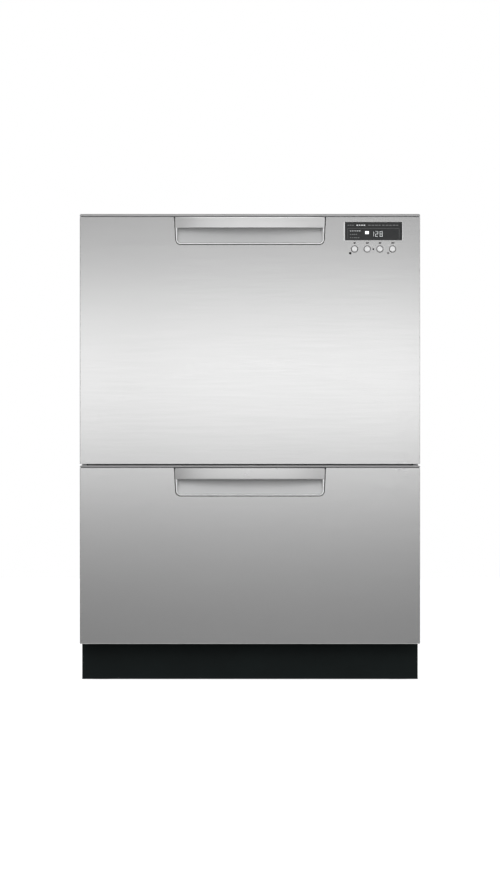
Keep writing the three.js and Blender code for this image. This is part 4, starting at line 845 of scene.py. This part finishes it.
def make_marks():
    """Printed marks by the buttons, and a lamp between the middle two."""
    marks, pale, lamp = Mesh(), Mesh(), Mesh()
    z = photo_z(243)
    for i, width in zip(range(1, 5), (1, 1.5, 1.4, 1.8)):
        x, w = button_centre(i).x, width
        disc(marks, x - w * 0.6, z, 1.35)
        bar(marks, x + 0.1, x + 2 * w, z + 0.2, z + 1.3, PRINT_Y)
        bar(marks, x + 0.1, x + 1.6 * w, z - 1.2, z - 0.2, PRINT_Y)
    disc(marks, photo_x(350.3), photo_z(253.2), 2.2)
    disc(pale, photo_x(388.2), photo_z(253), 1.9)
    marks.piece("printed_marks", INK, "upper_drawer", "dark_plastic")
    pale.piece("printed_mark_pale", INK_PALE, "upper_drawer", "dark_plastic")
    dome = [(0.05, -0.35), (1, -0.3), (1.6, 0), (1.7, 0.3)]
    lamp.skin(revolve(dome, (photo_x(373.4), FACE_Y, photo_z(249.2)), "y", 24))
    lamp.piece("signal_lamp", INK, "upper_drawer", "dark_plastic")


for i in range(1, 5):
    make_button(i)
make_display()
make_marks()

# ---- inside the drawers

RACK_FLOOR = by_drawer(522, 156.8)
RACK_RIM = by_drawer(650, 244.8)
RACK_X, RACK_Y, RACK_CORNER = 254.5, 233.65, 36
RIM_WIRE, WIRE_THICK, TINE_THICK = 5, 3.6, 3.2
WIRE_SIDES = 10
WIRE_BEND = 9
CROSS_REACH, CROSS_WIRES = 189.65, 11  # from the rack's middle to the outermost cross wires
LONG_REACH, LONG_WIRES, LONG_DROP = 184.5, 5, 2.4  # the wires that run front to back
TINE_ROWS_X = (-214, -84)
ROW_REACH, ROW_RISE = 207.65, 2.1
TINE_STEP = 46
TINE_YS = [-199.35 + TINE_STEP * i for i in range(9)]
TINE_LONG, TINE_FOLDING = 74, 66
FOLD_X, FOLD_RISE, FOLD_CLIPS_Y = -149, 6.8, (-117.64, 109.94)
CUP_HINGE_X, CUP_WIDTH, CUP_REACH, CUP_CLIP_REACH = 242.5, 100, 125, 96.15
TUB_WALL = 3.5
RUNNER_DROP, RAIL_HALF = 60, 18.5  # the runner below the tub's rim, and the rail beside it
RAIL_FRONT, RAIL_REAR, RAIL_RIBS = -249, 241.3, 9
KEEL_REACH = 195
ARM_RISE, ARM_REACH, ARM_TIP = 11.8, 201.15, 11
JET_SHARES = (-0.92, -0.76, -0.6, -0.45, -0.3, 0.3, 0.45, 0.6, 0.76, 0.92)


def level_loop(half_x, half_y, r, z, steps=10):
    return [(x, TUB_Y + y, z) for x, y in rounded_corners(half_x, half_y, r, steps)]


def bent(points, radius, steps=5, closed=False):
    """The points of a line with its corners rounded."""
    points = [Vector(p) for p in points]
    count = len(points)
    line = [] if closed else [points[0]]
    for i in range(0 if closed else 1, count if closed else count - 1):
        corner = points[i]
        start = corner + (points[i - 1] - corner).normalized() * radius
        end = corner + (points[(i + 1) % count] - corner).normalized() * radius
        for t in spread(steps + 1, 0, 1):
            line.append(start * (1 - t) ** 2 + corner * (2 * t * (1 - t)) + end * t * t)
    return line if closed else [*line, points[-1]]


def sweep(mesh, points, section, closed=False):
    """A section, as (sideways, up) pairs, along a line."""
    points = [Vector(p) for p in points]
    count = len(points)
    lift = Vector((0, 0, 1))
    rings = []
    for i, at in enumerate(points):
        before = points[i - 1] if i or closed else at
        after = points[(i + 1) % count] if i < count - 1 or closed else at
        along = (after - before).normalized()
        lift = lift - along * lift.dot(along)
        if lift.length < 1e-3:
            lift = along.orthogonal()
        lift.normalize()
        side = along.cross(lift)
        rings.append([tuple(at + side * u + lift * v) for u, v in section])
    mesh.skin(rings + rings[:1] if closed else rings, caps=not closed)


def wire(mesh, points, thick=WIRE_THICK, closed=False):
    sweep(mesh, points, ring_of(thick / 2, WIRE_SIDES), closed)


def tine(mesh, x, y, low, high):
    """An upright wire with a rounded tip."""
    r = TINE_THICK / 2
    tip = [(r * math.cos(a), high - r + r * math.sin(a)) for a in (0.4, 0.8, 1.15, 1.5)]
    mesh.skin(revolve([(r, low), (r, high - r), *tip], (x, y, 0), "z", WIRE_SIDES))


def tine_row(mesh, x, z, rise, shift):
    wire(mesh, [(x, TUB_Y - ROW_REACH, z), (x, TUB_Y + ROW_REACH, z)])
    for y in TINE_YS:
        tine(mesh, x, y + shift, z, z + rise)


def clip(mesh, x0, x1, y, depth, z0, z1):
    """A moulded clip with a round top, across a wire."""
    r = (x1 - x0) / 2
    outline = [(x0, z0), *arc((x0 + x1) / 2, z1 - r, r, 180, 0, 8), (x1, z0)]
    mesh.skin([[(x, y + d, z) for x, z in outline] for d in (-depth, depth)])


def make_rack(drawer):
    floor, rim = RACK_FLOOR[drawer], RACK_RIM[drawer]
    mesh = Mesh(drawer)
    top_x = RACK_X + 1
    wire(mesh, level_loop(top_x, RACK_Y, RACK_CORNER, rim), RIM_WIRE, closed=True)
    wire(mesh, level_loop(RACK_X + 0.5, RACK_Y, RACK_CORNER, (floor + rim) / 2), closed=True)
    for y in spread(CROSS_WIRES, TUB_Y - CROSS_REACH, TUB_Y + CROSS_REACH):
        ends = [(top_x, y, rim), (RACK_X, y, floor), (-RACK_X, y, floor), (-top_x, y, rim)]
        wire(mesh, bent(ends, WIRE_BEND))
    front, rear, low = TUB_Y - RACK_Y, TUB_Y + RACK_Y, floor - LONG_DROP
    for x in spread(LONG_WIRES, -LONG_REACH, LONG_REACH):
        wire(mesh, bent([(x, front, rim), (x, front, low), (x, rear, low), (x, rear, rim)], WIRE_BEND))
    for x in TINE_ROWS_X:
        tine_row(mesh, x, floor + ROW_RISE, TINE_LONG, 0)
    for y in FOLD_CLIPS_Y:
        clip(mesh, FOLD_X - 5, FOLD_X + 5, y, 3, floor - 1, floor + 11.6)
    if drawer == "upper":
        for y in (TUB_Y - CUP_CLIP_REACH, TUB_Y + CUP_CLIP_REACH):
            clip(mesh, CUP_HINGE_X - 5, RACK_X, y, 4, rim - 5, rim + 5)
    mesh.piece("rack_wires", WIRE, "drawer", "rack_coat", replaces="dish_rack", smooth=45)


def make_folding_row(drawer):
    mesh = Mesh(drawer)
    tine_row(mesh, FOLD_X, RACK_FLOOR[drawer] + FOLD_RISE, TINE_FOLDING, TINE_STEP / 2)
    mesh.piece("folding_row", WIRE, "tines", "rack_coat", replaces="folding_tines", smooth=45)


def make_cup_rack():
    z, near = RACK_RIM["upper"], CUP_HINGE_X
    far, front, rear = near - CUP_WIDTH, TUB_Y - CUP_REACH, TUB_Y + CUP_REACH
    mesh = Mesh()
    frame_line = [(near, rear, z), (near, front, z), (far, front, z), (far, rear, z)]
    wire(mesh, bent(frame_line, 8, closed=True), closed=True)
    for y in spread(9, front, rear)[1:-1]:
        wire(mesh, [(far, y, z), (near, y, z)], TINE_THICK)
    mesh.piece("cup_shelf", WIRE, "upper_cups", "rack_coat", replaces="upper_cup_rack", smooth=45)


def tub_levels(rim, floor):
    """Up a tub's outside and down its inside: half its width and depth, its corners and the height."""
    ledge = floor + LEDGE_RISE
    level = lambda x, z, r=42: (x, x - TUB_SHORTER, r, z)
    lip_x, lip_y, lip_r = 283, 249.15, 42
    lip = [(lip_x, lip_y, lip_r, rim - 5)]
    for inset, drop in ((0, 1.5), (0.4, 0.5), (1.5, 0)):
        lip.append((lip_x - inset, lip_y - inset, lip_r - inset, rim - drop))
    cove = [(232 + 9 * math.cos(a), floor + (14 - 10.5 * math.sin(a))) for a in spread(7, 0, QUARTER)]
    return [
        level(234, floor, 38), level(244.5, floor + 12), level(249.5, ledge - 3.5),
        level(262.5, ledge - 2.5), level(268.5, rim - 5), *lip,
        level(266.5, rim, 43.5), level(265.4, rim - 0.5), level(265, rim - 1.6),
        level(259, ledge + 1.6), level(258.6, ledge + 0.5), level(257.4, ledge),
        level(247.6, ledge), level(246.4, ledge - 0.5), level(246, ledge - 1.6),
        *[level(x, z, 42 - (241 - x) * 0.66) for x, z in cove],
    ]


def make_tub(drawer):
    """A moulded shell with coved corners, a ledge for the rack and a round well."""
    rim, floor = TUB_RIM[drawer], TUB_FLOOR[drawer]
    middle, steps = (0, TUB_Y, floor), 72
    rings = [level_loop(*level, 12) for level in tub_levels(rim, floor)]
    mesh = Mesh(drawer).skin(rings, caps=False)
    mesh.face(rings[0])
    well = revolve([(105.5, 3.5), (104.4, 3.1), (104, 2), (104, -14.5)], middle, "z", steps)
    mesh.skin(well, caps=False)
    mesh.face(well[-1])
    mesh.fill([rings[-1], well[0]], drop=2)
    mesh.skin(revolve([(107.5, 1), (107.5, -17), (106.5, -18)], middle, "z", steps))
    low, high = rim - RUNNER_DROP - RAIL_HALF, rim - RUNNER_DROP + RAIL_HALF
    for side in (-1, 1):
        # The rail's web, its top shelf and its ribs, and the keel under the floor
        sides = (278.8, 281.3), (265.2, 281.3), (265.2, 280.3), (160.5, 163.5)
        web, shelf, rib, keel = (sorted((side * a, side * b)) for a, b in sides)
        mesh.block((web[0], RAIL_FRONT, low), (web[1], RAIL_REAR, high))
        mesh.block((shelf[0], RAIL_FRONT, high - 3), (shelf[1], RAIL_REAR, high))
        for y in spread(RAIL_RIBS, RAIL_FRONT, RAIL_REAR - 3):
            mesh.block((rib[0], y, low), (rib[1], y + 2.4, high - 1))
        mesh.block((keel[0], TUB_Y - KEEL_REACH, floor - 8), (keel[1], TUB_Y + KEEL_REACH, floor + 1))
    mesh.piece("tub_shell", TUB, "drawer", "tub_plastic", replaces="tub", welded=True)


def make_arm(drawer):
    """The spray arm: a blade with rounded edges, a hub and a row of jets."""
    base, reach, tip = TUB_FLOOR[drawer] + ARM_RISE, ARM_REACH, ARM_TIP
    waist = 17
    half = []
    for a, b, c in (((-reach + tip, -tip), (-reach / 2, -21), (0, -waist)),
                    ((0, -waist), (reach / 2, -9), (reach - tip, -tip))):
        for t in spread(13, 0, 1)[:-1]:
            u = 1 - t
            half.append(tuple(p * u**2 + q * 2 * t * u + r * t * t for p, q, r in zip(a, b, c)))
    half += arc(reach - tip, 0, tip, -90, 84, 12)
    outline = half + [(-x, -y) for x, y in half]
    rings = []
    for up, inset in [(0, 1.5), (1.2, 0.3), (2.5, 0), (8, 0), (10.4, 1.2), (11.6, 3.2), (12, 5)]:
        narrow, short = 1 - inset / waist, 1 - inset / reach
        rings.append([(x * short, TUB_Y + y * narrow, base + up) for x, y in outline])
    mesh, jet_shade = Mesh(drawer), Mesh(drawer)
    mesh.skin(rings)
    hub = [(24, 0), (24, 9), (23, 11.5), (20, 13), (13, 13.4), (12.5, 14.6), (11, 15), (0.05, 15)]
    mesh.skin(revolve(hub, (0, TUB_Y, base), "z", 48))
    nozzle, top = [(4.2, 11), (3.6, 12.6), (2.6, 13), (0.05, 13)], base + 13.06
    for i, share in enumerate(JET_SHARES):
        x, y = share * reach, TUB_Y + (2.5 if i % 2 else -2.5) * (1 - abs(share))
        mesh.skin(revolve(nozzle, (x, y, base), "z", 20))
        # A dark bar on each nozzle in place of its slit: painted shade.
        jet_shade.block((x - 2.2, y - 0.6, top - 1), (x + 2.2, y + 0.6, top))
    mesh.piece("arm_blade", ARM, "arm", "tub_plastic", replaces="spray_arm")
    jet_shade.piece("arm_jet_shade", DARK, "arm", "dark_plastic")


def make_filter(drawer):
    plate = [(0.05, -6), (98.4, -6), (98.4, -17.6), (103.3, -17.6), (103.3, -0.8), (102.5, 0)]
    plate += [(98, 0), (96.5, -1.2), (60, -2), (16, -3), (13.6, -2)]
    hub = [(13, 8), (9, 8), (8, 18.4), (7.2, 19), (0.05, 19)]
    rings = revolve(plate + hub, (0, TUB_Y, TUB_FLOOR[drawer] + TUB_WALL), "z", 72)
    mesh = Mesh(drawer).skin(rings)
    mesh.piece("filter", FILTER_STEEL, "drawer", "filter_steel", replaces="filter_plate")


def make_basket(drawer):
    """The cutlery basket: slotted walls, four cells and an arched handle."""
    low, high = box(f"{drawer}_cutlery_basket")
    x0, x1, y0, y1, z0, z1 = low.x, high.x, low.y, high.y, low.z, high.z - 22
    wall, bar_width, pitch, thinner, lip = 2.2, 3, 7.2, 0.2, 0.5
    mesh = Mesh(drawer)
    for bottom, top in ((z0, z0 + 12), (z1 - 9, z1)):
        outer, inner = ([(x0 + e, y0 + e), (x1 - e, y0 + e), (x1 - e, y1 - e), (x0 + e, y1 - e)]
                        for e in (0, wall))
        levels = ((outer, bottom), (outer, top - lip), (outer, top), (inner, top), (inner, bottom))
        rings = [[(x, y, z) for x, y in outline] for outline, z in levels]
        mesh.skin(rings + rings[:1], caps=False)
    slats = lambda a, b: [min(a + i * pitch, b - bar_width) for i in range(int((b - a) / pitch) + 1)]
    lower, upper = z0 + 11, z1 - 8
    for y in slats(y0, y1):
        for x in (x0, x1 - wall):
            mesh.block((x + thinner, y, lower), (x + wall - thinner, y + bar_width, upper))
        mesh.block((x0 + wall, y, z0), (x1 - wall, y + bar_width, z0 + wall))
    for x in slats(x0, x1):
        for y in (y0, y1 - wall):
            mesh.block((x, y + thinner, lower), (x + bar_width, y + wall - thinner, upper))
    for y in spread(5, y0, y1)[1:-1]:
        mesh.block((x0 + wall, y - 0.9, z0 + wall), (x1 - wall, y + 0.9, z1 - 4))
    middle, foot, crown = (x0 + x1) / 2, z1 - 14, z1 + 19
    path = [(middle, y0 + 2.6, foot), (middle, y0 + 28, crown),
            (middle, y1 - 28, crown), (middle, y1 - 2.6, foot)]
    sweep(mesh, bent(path, 16, 8), rounded_corners(7, 2.6, 1.6, 4))
    mesh.piece("basket", BASKET, "drawer", "tub_plastic", replaces="cutlery_basket")


for drawer in DRAWERS:
    for make in (make_rack, make_folding_row, make_tub, make_arm, make_filter, make_basket):
        make(drawer)
make_cup_rack()

# ---- cabinet

THREAD_PITCH = 1.5
THREAD_RADII = (4.2, 4.9)
STEM_START = 13
SCREW_X = 295.5
SCREW_YS = (-235, 268)
SCREW_ZS = (110, 300, 416, 600, 790)


def make_foot(name):
    """A levelling foot: a pad, a hexagon to turn it by and a threaded stem."""
    low, high = box(f"foot_{name}")
    centre = ((low.x + high.x) / 2, (low.y + high.y) / 2, low.z)
    disc_profile = [(0.05, 0), (17.4, 0), (19, 1.2), (19, 5), (18, 6.2), (12, 7.4), (6, 8), (0.05, 8)]
    hexagon = [(9, 7.4), (9.4, 8), (9.4, 13), (8.6, 13.8)]
    pad = Mesh().skin(revolve(disc_profile, centre, "z", 48))
    pad.skin(revolve(hexagon, centre, "z", 6))
    pad.piece(f"foot_pad_{name}", DARK, f"foot_body_{name}", "dark_plastic", replaces=f"foot_{name}")
    turns = int((high.z - low.z - 14) / THREAD_PITCH)
    thread = [(r, STEM_START + THREAD_PITCH * (i + half / 2))
              for i in range(turns) for half, r in enumerate(THREAD_RADII)]
    stem = Mesh().skin(revolve(thread, centre, "z", 24))
    stem.piece(f"foot_stem_{name}", RUNNER_STEEL, f"foot_body_{name}", "runner_steel")


def make_screws():
    """Pan-head screws down the cabinet's sides, each with a dark cross of painted shade for its slot.
    """
    heads, slot_shade = Mesh(), Mesh()
    long, short = 1.8, 0.4
    for side in (-1, 1):
        x = side * SCREW_X
        profile = (4.2, -0.1), (4.1, 0.5), (3.3, 1.1), (2, 1.4), (0.05, 1.5)
        dome = [(r, side * out) for r, out in profile]
        a, b = sorted((x + side * 1.3, x + side * 1.56))
        for y in SCREW_YS:
            for z in SCREW_ZS:
                heads.skin(revolve(dome, (x, y, z), "x", 24))
                for wide, tall in ((long, short), (short, long)):
                    # A dark cross on each head in place of its slot's recess: painted shade.
                    slot_shade.block((a, y - wide, z - tall), (b, y + wide, z + tall))
    heads.piece("cabinet_screws", RUNNER_STEEL, "cabinet", "runner_steel")
    slot_shade.piece("cabinet_screw_slot_shade", DARK, "cabinet", "dark_plastic")


def soften(width, *starts):
    """A small bevel on CAD nodes, so that their edges catch the light."""
    for node in starting(*starts):
        bevel_edges(node, width, 40)


for name in ("front_left", "front_right", "rear_left", "rear_right"):
    make_foot(name)
make_screws()
soften(0.3, "side_panel", "top_panel", "rear_panel", "centre_rail", "base_tray", "toe_kick",
       *each("runner", "lid_actuator", "dispenser_door"))
soften(0.6, "inlet_valve", *each("wash_motor", "dispenser", "lid"))

# ---- studio

CARD_Y = -1.5
CARD_HALF_WIDTH = 2.6
CARD_TOP = 2.4
SWEEP_GAP = 0.12  # of bare floor in front of the fronts
SWEEP_HEIGHT = 0.004
CARD_PEAK = 2.6
CARD_FADE = 1.6  # the card's brightness is drawn out to this far each side
# Brightness by height, and the share of it by distance to the left or right
CARD_LEVELS = [
    (0, 0.15), (0.12, 0.3), (0.24, 0.38), (0.36, 0.64), (0.46, 2.02), (0.56, 2.52),
    (0.66, 1.43), (0.76, 0.27), (0.86, 0.16), (1, 0.72), (1.3, 1.2), (2.4, 1.65),
]
CARD_SIDES = [
    (-1.6, 0.5), (-0.9, 0.1), (-0.5, 0), (-0.37, 1.2), (-0.24, 0.92), (-0.1, 1), (0.2, 1), (0.34, 1.05),
    (0.5, 0.35), (0.8, 0.7), (1.6, 1),
]
# Past this far to each side the cards are as pale as the room
CARD_FAR = [(-0.9, 1), (-0.68, 0), (0.55, 0), (0.75, 1)]
CARD_FAR_LEVEL = 1.0
SWEEP_LEVEL = 0.3
FLOOR_HALF = 30.0
FLOOR_LIFT = 0.71
ROOM_COLOUR, ROOM_LEVEL = (0.97, 0.985, 1), 0.85


def stage_plane(name, corners, material):
    mesh = bpy.data.meshes.new(name)
    mesh.from_pydata(corners, [], [tuple(range(len(corners)))])
    mesh.materials.append(material)
    plane = linked(name, mesh)
    return plane


def card_material(name, graded):
    """Dark, and as pale as the room far to each side. graded shades the dark part."""
    s = Shader(name)
    place = s.node("ShaderNodeSeparateXYZ", {"Vector": s.coordinates()})
    sideways = s.span(place.outputs["X"], 0, 1, -CARD_FADE, CARD_FADE)
    place_of = lambda x: (x / CARD_FADE + 1) / 2
    across = lambda stops: s.ramp(sideways, [(place_of(x), level) for x, level in stops], "EASE")
    near = SWEEP_LEVEL / CARD_PEAK
    if graded:
        height = s.span(place.outputs["Z"], 0, 1, 0, CARD_TOP)
        glow = s.ramp(height, [(z / CARD_TOP, level / CARD_PEAK) for z, level in CARD_LEVELS], "EASE")
        near = s.times(glow, across(CARD_SIDES))
    light = s.mix(across(CARD_FAR), near, CARD_FAR_LEVEL / CARD_PEAK)
    s.surface(s.node("ShaderNodeEmission", {"Strength": CARD_PEAK, "Color": light}).outputs[0])
    return s.material


def make_cards():
    """Two cards that only reflections show: one upright before the object, one on the floor."""
    w, near = CARD_HALF_WIDTH, FACE_Y * MM - SWEEP_GAP
    upright = [(-w, CARD_Y, 0), (w, CARD_Y, 0), (w, CARD_Y, CARD_TOP), (-w, CARD_Y, CARD_TOP)]
    sweep_card = [(x, y, SWEEP_HEIGHT) for x, y in ((-w, CARD_Y), (w, CARD_Y), (w, near), (-w, near))]
    for plane in (stage_plane("softbox_front", upright, card_material("softbox_graded", True)),
                  stage_plane("softbox_sweep", sweep_card, card_material("softbox_low", False))):
        plane.visible_camera = False
        plane.visible_diffuse = False
        plane.visible_transmission = False
        plane.visible_shadow = False


def floor_material():
    """White to the camera and in reflections, with the object's shadow kept."""
    s = Shader("pale_floor", roughness=0.9)
    s.to(s.ramp(s.noise(3, detail=6), [(0.3, 0.345), (0.7, 0.355)]), "Base Color")
    plain = s.principled.outputs[0]
    lift = s.node("ShaderNodeEmission", {"Strength": FLOOR_LIFT}).outputs[0]
    both = s.node("ShaderNodeAddShader", {0: plain, 1: lift}).outputs[0]
    choose = {0: s.seen_by("Camera", "Glossy"), 1: plain, 2: both}
    s.surface(s.node("ShaderNodeMixShader", choose).outputs[0])
    return s.material


def make_world():
    """A pale room, which the camera and reflections see as white."""
    world = bpy.data.worlds.new("studio")
    bpy.context.scene.world = world
    world.use_nodes = True
    world.node_tree.nodes.clear()
    tree = Tree(world.node_tree)
    room = tree.node("ShaderNodeBackground", {"Color": ROOM_COLOUR, "Strength": ROOM_LEVEL}).outputs[0]
    white = tree.node("ShaderNodeBackground", {"Color": 1.0}).outputs[0]
    choose = {0: tree.seen_by("Camera", "Glossy", "Transmission"), 1: room, 2: white}
    light = tree.node("ShaderNodeMixShader", choose).outputs[0]
    tree.node("ShaderNodeOutputWorld", {"Surface": light})


def area_light(name, location, target, size, power):
    data = bpy.data.lights.new(name, "AREA")
    data.shape = "RECTANGLE"
    data.size, data.size_y = size
    data.energy = power
    lamp = linked(name, data)
    lamp.location = location
    lamp.rotation_euler = (Vector(target) - Vector(location)).to_track_quat("-Z", "Y").to_euler()
    lamp.visible_camera = False
    lamp.visible_glossy = False


make_world()
make_cards()
half = FLOOR_HALF
floor_corners = [(-half, -half, 0), (half, -half, 0), (half, half, 0), (-half, half, 0)]
stage_plane("floor", floor_corners, floor_material())
area_light("key", (-1.3, -3.2, 2.2), (0, 0, 0.45), (2.2, 1.6), 45)
area_light("fill", (0.9, -3.4, 0.7), (0, 0, 0.5), (2, 1.4), 30)
area_light("overhead", (0, 0.2, 3.2), (0, 0, 0.4), (2.4, 2.4), 20)
